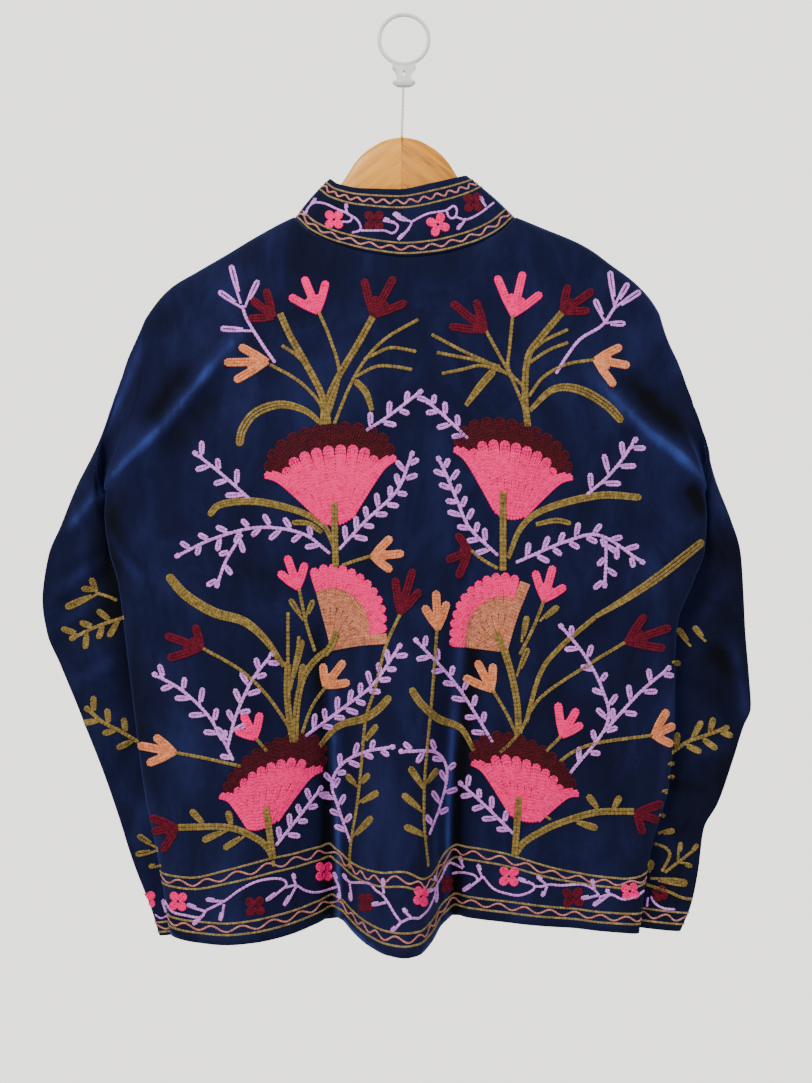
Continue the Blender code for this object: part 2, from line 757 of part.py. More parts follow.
def sleeve_half(name, points, normals):
    """One of a sleeve's two pieces; its long edges stand a seam's gap off the other piece's."""
    first = points[1] - points[0]
    last = points[-2] - points[-1]
    points = points.copy()
    points[0] += SEAM * first / np.linalg.norm(first, axis=1, keepdims=True)
    points[-1] += SEAM * last / np.linalg.norm(last, axis=1, keepdims=True)
    verts, faces = shell_mesh(points, normals, CLOTH)
    return add_object(name, verts, faces, NAVY, VELVET_ROUGHNESS)


def collar_angles():
    """The places round the neck of the panels' columns, from the left front round the back."""
    left, left_top, right, right_top = front_places()
    back = top_places(BACK_COLUMNS, TIP_LEFT[0], TIP_RIGHT[0])
    low = NECK_MID_X - NECK_HALF
    high = NECK_MID_X + NECK_HALF
    parts = (
        (left_top[(left_top >= low)][::-1], True),
        (back[(back > low) & (back < high)], False),
        (right_top[(right_top <= high)][::-1], True),
    )
    angles = []
    for xs, front in parts:
        c = np.clip((xs - NECK_MID_X) / NECK_HALF, -1, 1)
        a = np.arccos(c)
        angles.append(a if front else 2 * math.pi - a)
    angles[2] = angles[2] + 2 * math.pi
    return np.concatenate(angles)


def make_collar():
    """A standing band round the neck that is open at the centre front."""
    angle = collar_angles()
    c = np.cos(angle)
    s = np.sin(angle)
    front = s > 1e-9
    share, back, fore = columns(COLLAR_TOP)
    low_x = NECK_MID_X + NECK_HALF * c
    low_y = np.where(front, NECK_FRONT_Y * s, -NECK_BACK_Y * s)
    low_z = np.where(front, neck_height(low_x, True), neck_height(low_x, False)) + COLLAR_LIFT
    high_x = COLLAR_TOP_MID_X + COLLAR_TOP_HALF * c
    high_y = np.where(front, COLLAR_TOP_FRONT_Y * s, -COLLAR_TOP_BACK_Y * s)
    high_z = np.where(front, smooth(share, fore, c), smooth(share, back, c))
    low = np.stack([low_x, low_y, low_z], axis=-1)
    high = np.stack([high_x, high_y, high_z], axis=-1)
    t = np.linspace(0, 1, COLLAR_ROWS)[None, :, None]
    points = low[:, None, :] * (1 - t) + high[:, None, :] * t
    bulge = COLLAR_BULGE * np.sin(math.pi * t)
    normals = normals_of(points)
    centre = points.mean(axis=(0, 1), keepdims=True)
    if ((points - centre) * normals).sum(axis=2).mean() < 0:
        normals = -normals
    points = points + normals * bulge
    back_way = neck_normal(low_x, False)
    front_way = neck_normal(low_x, True)
    normals[:, 0] = np.where(front[:, None], front_way, back_way)
    verts, faces = shell_mesh(points, normals, CLOTH)
    return add_object("collar", verts, faces, NAVY, VELVET_ROUGHNESS)


def make_arm(name, side):
    """One arm of the wooden hanger, from the mitred middle to its tip."""
    angle = np.linspace(0, 2 * math.pi, ARM_STEPS, endpoint=False)
    d, top, bottom, half = columns(ARM)
    fine = np.array(ARM_PLACES, float)
    rings = []
    for x in fine:
        zt = float(smooth(d, top, x))
        zb = float(smooth(d, bottom, x))
        w = float(smooth(d, half, x))
        mid = (zt + zb) / 2
        tall = (zt - zb) / 2
        cy = np.sign(np.cos(angle)) * np.abs(np.cos(angle)) ** ARM_SQUARENESS * w
        cz = mid + np.sign(np.sin(angle)) * np.abs(np.sin(angle)) ** ARM_SQUARENESS * tall
        px = HANGER_X + side * (SEAM + x)
        rings.append(np.stack([np.full(ARM_STEPS, px), cy, cz], axis=-1))
    verts = np.concatenate(rings) * MM
    faces = []
    count = ARM_STEPS
    for k in range(len(fine) - 1):
        for i in range(count):
            j = (i + 1) % count
            faces.append((k * count + i, k * count + j, (k + 1) * count + j, (k + 1) * count + i))
    faces.append(tuple(reversed(range(count))))
    last = (len(fine) - 1) * count
    faces.append(tuple(last + i for i in range(count)))
    return add_object(name, verts, faces, WOOD, WOOD_ROUGHNESS)


def make_cord():
    """The thin straight cord between the clip and the hanger."""
    count = CORD_STEPS
    verts = []
    for x, z in CORD_ENDS:
        for i in range(count):
            a = 2 * math.pi * i / count
            verts.append((x + CORD_RADIUS * math.cos(a), CORD_RADIUS * math.sin(a), z))
    faces = []
    for i in range(count):
        j = (i + 1) % count
        faces.append((i, j, count + j, count + i))
    faces.append(tuple(reversed(range(count))))
    faces.append(tuple(count + i for i in range(count)))
    return add_object("cord", np.array(verts) * MM, faces, WHITE, CORD_ROUGHNESS)


def make_ring():
    """The ring that the wall hook carries."""
    major = RING_STEPS
    minor = RING_TUBE_STEPS
    drop = RING_MEAN - RING_TUBE
    verts = []
    for i in range(major):
        a = 2 * math.pi * i / major
        for k in range(minor):
            b = 2 * math.pi * k / minor
            r = RING_MEAN + RING_TUBE * math.cos(b)
            verts.append((r * math.sin(a), RING_TUBE * math.sin(b), r * math.cos(a) - drop))
    faces = []
    for i in range(major):
        for k in range(minor):
            i2 = (i + 1) % major
            k2 = (k + 1) % minor
            faces.append((i * minor + k, i2 * minor + k, i2 * minor + k2, i * minor + k2))
    return add_object("ring", np.array(verts) * MM, faces, WHITE, PLASTIC_ROUGHNESS)


def make_plate():
    """The flat neck under the ring, with its small upright slot."""
    outer = []
    centre = -(RING_MEAN - RING_TUBE)
    reach = RING_MEAN + RING_TUBE + PLATE_GAP
    for i in range(PLATE_ARC_STEPS):
        a = math.radians(PLATE_ARC_HALF_DEGREES * (2 * i / (PLATE_ARC_STEPS - 1) - 1))
        outer.append((reach * math.sin(a), centre - reach * math.cos(a)))
    for z, w in PLATE:
        outer.append((w, z))
    for z, w in reversed(PLATE):
        outer.append((-w, z))
    n = len(outer)
    hole = []
    for i in range(n):
        x, z = outer[i]
        a = math.atan2(z - SLOT_Z, x)
        hole.append((SLOT_HALF_WIDTH * math.cos(a), SLOT_Z + SLOT_HALF_HEIGHT * math.sin(a)))
    verts = []
    for y in (-PLATE_HALF_THICK, PLATE_HALF_THICK):
        verts += [(x, y, z) for x, z in outer]
        verts += [(x, y, z) for x, z in hole]
    faces = []
    for i in range(n):
        j = (i + 1) % n
        faces.append((i, j, n + j, n + i))
        faces.append((2 * n + i, 3 * n + i, 3 * n + j, 2 * n + j))
        faces.append((i, 2 * n + i, 2 * n + j, j))
        faces.append((n + i, n + j, 3 * n + j, 3 * n + i))
    return add_object("clip_neck", np.array(verts) * MM, faces, WHITE, PLASTIC_ROUGHNESS, crisp=True)


def make_foot():
    """The wider foot of the clip, where the cord goes in."""
    count = FOOT_STEPS
    verts = [(0.0, 0.0, FOOT[0][1])]
    for r, z in FOOT[1:-1]:
        for i in range(count):
            a = 2 * math.pi * i / count
            verts.append((r * math.cos(a), FOOT_FLATNESS * r * math.sin(a), z))
    verts.append((0.0, 0.0, FOOT[-1][1]))
    faces = []
    rings = len(FOOT) - 2
    for i in range(count):
        j = (i + 1) % count
        faces.append((0, 1 + i, 1 + j))
        for k in range(rings - 1):
            a = 1 + k * count
            b = a + count
            faces.append((a + i, b + i, b + j, a + j))
        faces.append((len(verts) - 1, 1 + (rings - 1) * count + j, 1 + (rings - 1) * count + i))
    return add_object("clip_foot", np.array(verts) * MM, faces, WHITE, PLASTIC_ROUGHNESS)


make_back()
make_fronts()
make_sleeve("sleeve_left", -1, SLEEVE_LEFT, CUT_LEFT)
make_sleeve("sleeve_right", 1, SLEEVE_RIGHT, CUT_RIGHT)
make_collar()
make_arm("hanger_left", -1)
make_arm("hanger_right", 1)
make_cord()
make_ring()
make_plate()
make_foot()
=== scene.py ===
# %% [markdown]
# An embroidered velvet jacket hangs on a wooden hanger with its back to us. The lesson starts from
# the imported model, a fixed frame of plain solids, and gives each of them the surface that a maker
# would: cotton velvet, woollen chain stitch, beech wood, moulded plastic and twisted cord.

# %% The frame
import bpy
import math
import numpy as np
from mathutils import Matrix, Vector
from mathutils.bvhtree import BVHTree


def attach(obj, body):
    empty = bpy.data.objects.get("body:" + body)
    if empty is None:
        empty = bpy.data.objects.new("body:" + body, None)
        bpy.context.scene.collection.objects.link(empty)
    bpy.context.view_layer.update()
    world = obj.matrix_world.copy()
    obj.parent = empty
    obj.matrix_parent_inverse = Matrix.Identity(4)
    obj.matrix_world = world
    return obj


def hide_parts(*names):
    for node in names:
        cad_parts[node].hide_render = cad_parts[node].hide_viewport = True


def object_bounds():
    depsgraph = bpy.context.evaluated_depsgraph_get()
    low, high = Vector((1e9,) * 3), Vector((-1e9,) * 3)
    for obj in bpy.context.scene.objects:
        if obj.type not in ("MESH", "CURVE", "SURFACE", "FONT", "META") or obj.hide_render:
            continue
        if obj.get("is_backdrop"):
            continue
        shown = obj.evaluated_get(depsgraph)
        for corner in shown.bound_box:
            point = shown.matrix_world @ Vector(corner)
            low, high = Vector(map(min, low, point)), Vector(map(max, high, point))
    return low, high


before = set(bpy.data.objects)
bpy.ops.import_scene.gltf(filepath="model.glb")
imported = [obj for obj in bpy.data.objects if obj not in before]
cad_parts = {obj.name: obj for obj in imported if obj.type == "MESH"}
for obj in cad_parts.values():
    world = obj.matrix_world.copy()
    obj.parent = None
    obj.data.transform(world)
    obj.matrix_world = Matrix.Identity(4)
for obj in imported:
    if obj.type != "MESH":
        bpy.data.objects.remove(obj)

cad_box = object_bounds()
print("nodes:", sorted(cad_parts))

# %% [markdown]
# Colours are written as sRGB hex values, as a dyer's or a painter's card gives them. Shaders work in
# linear light, so one function turns them over. A second one adds a node to a material with its
# settings and its links, and short ones stand for the nodes that most recipes need, which keeps each
# recipe short enough to read. Sizes of patterns are real ones, in metres.

# %% Colour, node and mesh helpers
MM = 0.001


def linear(code):
    """An sRGB hex value as linear red, green, blue and alpha."""
    parts = [int(code[i : i + 2], 16) / 255 for i in (1, 3, 5)]
    return tuple(c / 12.92 if c <= 0.04045 else ((c + 0.055) / 1.055) ** 2.4 for c in parts) + (1.0,)


def add_node(tree, kind, values=(), links=(), **settings):
    """Adds a node; values fill its inputs, links join its inputs to other nodes' outputs."""
    made = tree.nodes.new(kind)
    for key, value in settings.items():
        setattr(made, key, value)
    for key, value in dict(values).items():
        made.inputs[key].default_value = value
    for key, (source, output) in dict(links).items():
        tree.links.new(source.outputs[output], made.inputs[key])
    return made


def new_material(name, **sockets):
    """A material whose shader has the given socket values; returns it, its tree and its shader."""
    material = bpy.data.materials.new(name)
    material.use_nodes = True
    tree = material.node_tree
    shader = tree.nodes["Principled BSDF"]
    for key, value in sockets.items():
        shader.inputs[key.replace("_", " ")].default_value = value
    return material, tree, shader


def colour_ramp(tree, source, output, stops):
    """A ramp of (place, hex) stops driven by another node's output."""
    ramp = add_node(tree, "ShaderNodeValToRGB", links={"Fac": (source, output)})
    parts = ramp.color_ramp.elements
    while len(parts) < len(stops):
        parts.new(0.5)
    for part, (place, code) in zip(parts, stops):
        part.position = place
        part.color = linear(code)
    return ramp


def mapping(tree, source, output, **values):
    """Turns or stretches the place that a pattern is read at."""
    return add_node(tree, "ShaderNodeMapping", values, {"Vector": (source, output)})


def noise(tree, source, output, size, **values):
    """Clouds about size metres across."""
    values = {"Scale": 1 / size, **values}
    return add_node(tree, "ShaderNodeTexNoise", values, {"Vector": (source, output)})


def mix(tree, factor, a, b):
    """Blends two values; the factor is the second one's share."""
    return add_node(tree, "ShaderNodeMix", {"Factor": factor}, {"A": a, "B": b})


def bump(tree, source, strength, tall, **links):
    """A relief from another node's pattern, up to a height in metres."""
    links = {"Height": (source, "Fac"), **links}
    return add_node(tree, "ShaderNodeBump", {"Strength": strength, "Distance": tall}, links)


def join_surface(tree, shader, shade, relief):
    """Gives the shader its colour and its relief."""
    tree.links.new(shade.outputs["Color"], shader.inputs["Base Color"])
    tree.links.new(relief.outputs["Normal"], shader.inputs["Normal"])


def new_piece(name, verts, faces, material, rounded=True):
    """A new object in the scene with one mesh and one material; rounded hides its facets."""
    mesh = bpy.data.meshes.new(name)
    mesh.from_pydata(verts, [], faces)
    mesh.update()
    mesh.polygons.foreach_set("use_smooth", [rounded] * len(mesh.polygons))
    mesh.materials.append(material)
    piece = bpy.data.objects.new(name, mesh)
    bpy.context.scene.collection.objects.link(piece)
    return piece


# %% [markdown]
# The camera stands square to the jacket's back, 0.9 m away, level with the middle of the picture.
# Its lens is worked out from the height that the picture takes in: 975 mm at the ring's plane.

# %% The camera
EYE = Vector((0.0018, -0.9, -0.4725))
FRAME_HEIGHT = 0.975
SENSOR = 36.0

camera_data = bpy.data.cameras.new("camera")
camera_data.sensor_width = SENSOR
camera_data.lens = SENSOR * abs(EYE.y) / FRAME_HEIGHT
camera = bpy.data.objects.new("camera", camera_data)
camera.location = EYE
camera.rotation_euler = (math.pi / 2, 0, 0)
bpy.context.scene.collection.objects.link(camera)
bpy.context.scene.camera = camera
print("lens:", round(camera_data.lens, 1), "mm")

# %% [markdown]
# Soft daylight in a room comes from everywhere, and a little more from one side. A pale world does
# the first, and four large area lights do the rest: a key from above and left, a fill from the
# right, a low one that opens the shadows under the folds, and one behind for the hidden side. Where
# the camera looks straight at the world it sees a brighter one, like a sunlit white wall. The floor
# is plain and pale.

# %% Light and floor
LIGHTS = (
    # name, place, size, watts, colour
    ("key", (-0.8, -1.5, 0.8), 0.7, 42.0, "#fff8ee"),
    ("fill", (1.4, -1.4, 0.1), 1.2, 9.0, "#f2f6ff"),
    ("low", (0.2, -1.6, -1.0), 1.0, 4.0, "#fffaf2"),
    ("behind", (0.3, 1.4, 0.4), 1.4, 10.0, "#ffffff"),
)
AIM = Vector((0.0, 0.0, -0.48))

for name, place, size, watts, colour in LIGHTS:
    lamp = bpy.data.lights.new(name, "AREA")
    lamp.shape = "DISK"
    lamp.size = size
    lamp.energy = watts
    lamp.color = linear(colour)[:3]
    holder = bpy.data.objects.new(name, lamp)
    holder.location = place
    holder.rotation_euler = (AIM - Vector(place)).to_track_quat("-Z", "Y").to_euler()
    bpy.context.scene.collection.objects.link(holder)

world = bpy.data.worlds.new("room")
bpy.context.scene.world = world
world.use_nodes = True
sky = world.node_tree
sky.nodes["Background"].inputs["Color"].default_value = linear("#f0ede4")
sky.nodes["Background"].inputs["Strength"].default_value = 0.8
backdrop = add_node(sky, "ShaderNodeBackground", {"Color": linear("#f4f2ec"), "Strength": 2.5})
seen = add_node(sky, "ShaderNodeLightPath")
both = add_node(
    sky,
    "ShaderNodeMixShader",
    links={
        0: (seen, "Is Camera Ray"),
        1: (sky.nodes["Background"], "Background"),
        2: (backdrop, "Background"),
    },
)
sky.links.new(both.outputs[0], sky.nodes["World Output"].inputs["Surface"])

FLOOR_Z = -2.0
FLOOR_CORNERS = [(-4, -5, FLOOR_Z), (4, -5, FLOOR_Z), (4, 1.6, FLOOR_Z), (-4, 1.6, FLOOR_Z)]
floor_paint = new_material("matt_floor_paint", Base_Color=linear("#e2ded6"), Roughness=0.9)[0]
floor = new_piece("floor", FLOOR_CORNERS, [(0, 1, 2, 3)], floor_paint, rounded=False)
floor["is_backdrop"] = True
print("lights:", len(LIGHTS))

# %% [markdown]
# Cotton velvet is woven with a cut pile about 1.5 mm long that stands up from the cloth. Light goes
# in between the fibres, so the face looks deep and dark, while at a grazing angle the fibres' sides
# catch it and every fold gets a pale rim. That rim is what a sheen layer gives. The pile also lies
# this way and that where hands have brushed it, which shows as cloudy lighter patches of some 30 to
# 60 mm. The pile's own grain is finer than a millimetre; it is drawn at 1.1 mm, as coarse as it
# needs to show. Light and shade on the folds are also painted into the colour: pale lines on ridges
# are painted highlight, and near-black troughs and darker patches on the sleeves are painted shade.
# A number on each point of the cloth carries that painted light: it comes from a table of lines
# and, for a small part, from the small creases, and it is added before the ramp. A picture of
# velvet could do the same, but it wouldn't follow the folds.

# %% Cotton velvet
# How much a painted light number of 1 adds to the place on the ramp.
PAINTED_LIGHT_STRENGTH = 0.4


def velvet(name, deep, mid, lit, painted_ridge_highlight):
    """Navy cotton velvet with a brushed nap, and painted highlight and shade along its folds."""
    material, tree, shader = new_material(
        name,
        Roughness=0.92,
        Specular_IOR_Level=0.12,
        IOR=1.45,
        Sheen_Weight=0.55,
        Sheen_Roughness=0.27,
        Sheen_Tint=linear("#5670d8"),
    )
    place = add_node(tree, "ShaderNodeTexCoord")
    stretched = mapping(tree, place, "Object", Scale=(1.0, 1.0, 0.55))
    clouds = noise(tree, stretched, "Vector", 0.055, Detail=5.0, Roughness=0.62, Distortion=0.8)
    grain = noise(tree, place, "Object", 0.0011, Detail=3.0, Roughness=0.7)
    streak = mapping(tree, place, "Object", Scale=(1.0, 1.0, 0.4))
    brushed = noise(tree, streak, "Vector", 0.009, Detail=4.0, Roughness=0.6)
    nap = mix(tree, 0.2, (clouds, "Fac"), (brushed, "Fac"))
    face = mix(tree, 0.16, (nap, "Result"), (grain, "Fac"))
    # The painted light of the folds: pale on ridges, dark in troughs, added to the nap's place on the
    # ramp.
    painted_fold_light = add_node(tree, "ShaderNodeAttribute", attribute_name="painted_fold_light")
    nap_with_painted_light = add_node(
        tree,
        "ShaderNodeMath",
        {1: PAINTED_LIGHT_STRENGTH},
        {0: (painted_fold_light, "Fac"), 2: (face, "Result")},
        operation="MULTIPLY_ADD",
    )
    # The top stop is the painted highlight of the ridges; the colours near the deep stop are reached
    # through painted shade in the troughs.
    shade = colour_ramp(
        tree, nap_with_painted_light, "Value", ((0.18, deep), (0.5, mid), (0.74, lit), (1.0, painted_ridge_highlight))
    )
    relief = bump(tree, grain, 0.35, 0.0006)
    soft = bump(tree, clouds, 0.25, 0.004, Normal=(relief, "Normal"))
    join_surface(tree, shader, shade, soft)
    return material


# The last colour is the painted highlight along ridges and the flute's edges.
navy_velvet = velvet("navy_cotton_velvet", "#04060e", "#0d1130", "#191f49", "#303f86")
print("made", navy_velvet.name)

# %% [markdown]
# Next comes the jacket's form. The solids already have it, worked out from a few named sizes and
# short tables. The same sizes and tables are used here, only with more rows and columns and with
# the small creases that a solid has no need of, so the velvet lies just where its solid lies.

# %% The jacket's sizes
CLOTH = 1.8
SEAM = 0.03
SIDE_ROUND = 26.0
SHOULDER_ROUND = 24.0
SIDE_Y = -8.0
UNDERARM_Y = -6.0
UNDERARM_Z = -426.0
NECK_HALF = 99.0
NECK_MID_X = 1.0
NECK_BACK_Y = -27.0
NECK_FRONT_Y = 27.0
COLLAR_TOP_HALF = 62.0
COLLAR_TOP_MID_X = -5.0
COLLAR_TOP_BACK_Y = -27.0
COLLAR_TOP_FRONT_Y = 22.0
FRONT_GAP = 3.0
HEM_RIGHT = 209.5
UNDERARM_V = 0.66
BACK_LOW_ROWS = 20
FRONT_LOW_ROWS = 13
BEHIND_FRONT = 3.2
CORNER_TILT = 0.75
COLLAR_LIFT = 0.5
SLEEVE_SEAM = 0.08
ARMHOLE_RISE = 46.0
ARMHOLE_SPREAD = 34.0
TUCK = 12.0
TUCK_DROP = 28.0
SLEEVE_LEAST = 6.0
HEM_Z = -821.0
# The back's depth. One row per height, one column per x.
BACK_X = (-200, -150, -110, -80, -61, -46, -30, -13, 0, 12, 23, 33, 42, 62, 95, 140, 190)
BACK_DEPTH = (
    # z, then y at each x of BACK_X
    (-826, -24, -30, -20, -2, 13, -10, -40, -62, -68, -60, -32, 0, 13, 0, -8, -15, -17),
    (-740, -24, -30, -22, -8, 5, -13, -38, -56, -61, -55, -33, -6, 6, -5, -14, -20, -20),
    (-660, -24, -29, -24, -16, -8, -18, -34, -47, -50, -46, -34, -17, -8, -13, -20, -24, -22),
    (-580, -24, -28, -26, -22, -19, -24, -32, -40, -42, -40, -34, -27, -22, -23, -25, -26, -24),
    (-500, -24, -28, -29, -28, -27, -29, -32, -35, -36, -35, -33, -31, -29, -28, -28, -28, -25),
    (-400, -24, -28, -30, -30, -30, -31, -32, -34, -34, -34, -33, -32, -31, -30, -30, -29, -26),
    (-300, -20, -24, -27, -29, -30, -31, -32, -32, -32, -32, -31, -31, -31, -30, -29, -26, -22),
    (-230, -15, -20, -25, -27, -28, -28, -28, -28, -28, -28, -28, -28, -28, -27, -26, -22, -17),
)
# The fronts' depth, the same way.
FRONT_X = (-250, -200, -150, -112, -80, -40, 0, 40, 80, 112, 150, 200, 250)
FRONT_DEPTH = (
    # z, then y at each x of FRONT_X
    (-826, 2, 3, 3, 4, 17, 26, 28, 27, 17, 4, 3, 3, 2),
    (-700, 2, 3, 3, 5, 17, 26, 28, 26, 17, 5, 3, 3, 2),
    (-600, 2, 3, 3, 5, 16, 25, 28, 25, 16, 5, 3, 3, 2),
    (-500, 3, 3, 3, 5, 15, 25, 27, 25, 15, 5, 3, 3, 3),
    (-430, 4, 4, 6, 9, 17, 25, 27, 25, 17, 9, 6, 4, 4),
    (-360, 10, 11, 13, 16, 21, 25, 26, 25, 21, 16, 13, 11, 10),
    (-280, 12, 14, 17, 19, 22, 24, 25, 24, 22, 19, 17, 14, 12),
    (-200, 12, 14, 17, 19, 21, 24, 25, 24, 21, 19, 17, 14, 12),
)
# Soft ridges and creases on the back.
BACK_FOLDS = (
    # from x, from z, to x, to z, half width, height towards the viewer
    (-150, -292, -250, -408, 20, 6.0),
    (157, -312, 254, -412, 20, 6.0),
    (-173, -268, -168, -302, 8, -3.0),
    (-128, -470, -150, -700, 26, 3.0),
    (120, -455, 150, -690, 26, 3.0),
    (-40, -300, -30, -520, 24, 2.0),
)

# %% The outline and the seams
# The side seams below the underarm: x of the left and right edge at a height.
SIDE_EDGE = (
    # z, left x, right x
    (-830, -206, 208),
    (-772, -215, 215),
    (-740, -221, 221),
    (-690, -231, 235),
    (-636, -238, 240),
    (-570, -246, 241),
    (-545, -249, 243),
    (-508, -254, 257),
    (-480, -262, 267),
    (-448, -266, 269),
    (-426, -265, 267),
)
# The outline's top, from the left sleeve over the shoulders to the right sleeve.
TOP_EDGE = (
    # x, z
    (-330, -526),
    (-310, -458),
    (-294, -424),
    (-273, -385),
    (-252, -341),
    (-241, -300),
    (-230, -272),
    (-208, -245),
    (-185, -231),
    (-157, -215),
    (-130, -199),
    (-98, -183),
    (0, -150),
    (100, -183),
    (125, -193),
    (148, -202),
    (166, -211),
    (184, -224),
    (203, -238),
    (217, -252),
    (226, -266),
    (233, -284),
    (243, -325),
    (256, -351),
    (270, -388),
    (281, -419),
    (295, -452),
    (310, -526),
)
# The neck seam: its height across the back and across the front.
NECK_SEAM = (
    # share of the half width, z at the back, z at the front
    (-1.0, -183, -183),
    (-0.85, -199, -203),
    (-0.6, -212, -224),
    (-0.25, -221.5, -243),
    (0.0, -224.5, -248),
    (0.25, -222.5, -243),
    (0.6, -213, -224),
    (0.85, -199, -203),
    (1.0, -183, -183),
)
# The collar's top edge, the same way.
COLLAR_TOP = (
    # share of the half width, z at the back, z at the front
    (-1.0, -147, -147),
    (-0.85, -156, -160),
    (-0.5, -163, -176),
    (0.0, -165, -186),
    (0.5, -158, -176),
    (0.85, -150, -158),
    (1.0, -145, -145),
)
# The hem: its height along the back and along the fronts.
HEM = (
    # x, z at the back, z at the front
    (-207, -823, -823),
    (-157, -825, -824),
    (-130, -824, -824),
    (-97, -820, -822),
    (-62, -814, -820),
    (-39, -820, -820),
    (0, -819, -820),
    (23, -820, -820),
    (42, -813, -818),
    (65, -810, -817),
    (115, -811, -816),
    (149, -812, -815),
    (191, -815, -817),
    (210, -818, -818),
)
# Armholes: how far the seam bows in between shoulder tip and underarm.
ARMHOLE_BOW = 13.0
TIP_LEFT = (-230.0, -272.0)
TIP_RIGHT = (226.0, -266.0)
UNDERARM_LEFT = (-265.0, -426.0)
UNDERARM_RIGHT = (267.0, -426.0)
# Rows of the armhole, from the underarm to the tip.
ARMHOLE_ROWS = (1.0, 0.95, 0.87, 0.78, 0.69, 0.6, 0.51, 0.42, 0.33, 0.24, 0.15, 0.07, 0.02, 0.0)
# Columns of the back at the hem, close together at the two drape folds.
BACK_COLUMNS = (
    -207, -205.5, -201.5, -195, -186, -174, -158, -140, -122, -106, -94, -84, -76, -69, -63,
    -58, -53, -47, -40, -32, -23, -13, -3, 7, 15, 22, 27, 31.5, 36, 40, 44, 49, 55, 63, 74, 88,
    104, 122, 140, 158, 174, 187, 197, 203.5, 208, 209.5,
)
# Columns of the left front at the hem; the right front has them mirrored.
FRONT_COLUMNS = (
    -207, -205.5, -201.5, -195, -184, -168, -150, -132, -120, -110, -100, -90, -78, -64, -48,
    -32, -16,
)

# %% The sleeves and their creases
# The sleeves, ring by ring from the armhole to the cuff.
SLEEVE_LEFT = (
    # outer x, outer z, outer y, inner x, inner z, inner y, sag, back depth, front depth
    (-241, -301, 0, -271, -430, 4, 5, 28, 14),
    (-249, -330, 0, -270, -438, 9, 11, 30, 16),
    (-261, -362, 1, -259, -450, 13, 14, 29, 18),
    (-277, -392, 3, -241, -464, 16, 13, 25, 18),
    (-295, -424, 5, -215, -484, 20, 7, 19, 16),
    (-310, -458, 7, -195, -506, 22, 0, 14, 14),
    (-322, -485, 8, -187, -525, 22, 0, 9, 12),
    (-328, -526, 9, -183, -545, 22, 0, 9, 12),
    (-324, -556, 10, -180, -560, 22, 0, 9, 12),
    (-312, -584, 10, -175, -576, 22, 0, 9, 12),
    (-296, -623, 10, -166, -602, 22, 0, 8, 12),
    (-285, -651, 10, -160, -626, 22, 0, 8, 12),
    (-274, -679, 10, -153, -651, 22, 0, 8, 12),
    (-260, -719, 10, -143, -693, 22, 0, 8, 12),
    (-246, -763, 10, -132, -741, 22, 0, 8, 12),
    (-229, -807, 10, -120, -789, 22, 0, 8, 12),
    (-222, -830, 10, -115, -816, 22, 0, 8, 12),
)
SLEEVE_RIGHT = (
    # outer x, outer z, outer y, inner x, inner z, inner y, sag, back depth, front depth
    (234, -290, 0, 274, -430, 4, 5, 28, 14),
    (243, -325, 0, 274, -438, 9, 11, 30, 16),
    (256, -351, 1, 262, -450, 13, 14, 29, 18),
    (270, -388, 3, 243, -464, 16, 13, 25, 18),
    (281, -419, 5, 217, -486, 20, 7, 19, 16),
    (295, -452, 7, 194, -509, 22, 0, 14, 14),
    (305, -483, 8, 183, -530, 22, 0, 9, 12),
    (308, -522, 9, 177, -551, 22, 0, 9, 12),
    (310, -556, 10, 175, -568, 22, 0, 9, 12),
    (313, -592, 10, 174, -583, 22, 0, 8, 12),
    (315, -622, 10, 173, -598, 22, 0, 8, 12),
    (308, -641, 10, 171, -614, 22, 0, 8, 12),
    (298, -673, 10, 167, -634, 22, 0, 8, 12),
    (285, -710, 10, 160, -664, 22, 0, 8, 12),
    (272, -734, 10, 155, -693, 22, 0, 8, 12),
    (267, -772, 10, 147, -737, 22, 0, 8, 12),
    (261, -801, 10, 142, -777, 22, 0, 8, 12),
    (251, -826, 10, 136, -815, 22, 0, 8, 12),
)
# Creases on the sleeves' back side.
SLEEVE_FOLDS = (
    # from x, from z, to x, to z, half width, height towards the viewer
    (-322, -548, -262, -500, 9, -5.0),
    (-318, -500, -272, -470, 8, 3.5),
    (-310, -590, -250, -560, 8, 3.0),
    (308, -560, 262, -520, 9, -4.0),
    (296, -566, 304, -640, 9, 5.0),
    (292, -640, 262, -600, 9, -4.0),
    (272, -730, 240, -745, 9, -4.5),
)

# %% [markdown]
# Small creases that only the cloth needs: soft ridges and troughs of one to four millimetres, as
# uneven as a hand would leave them. Those of the fronts and of the sleeves' far sides are like the
# ones that show.

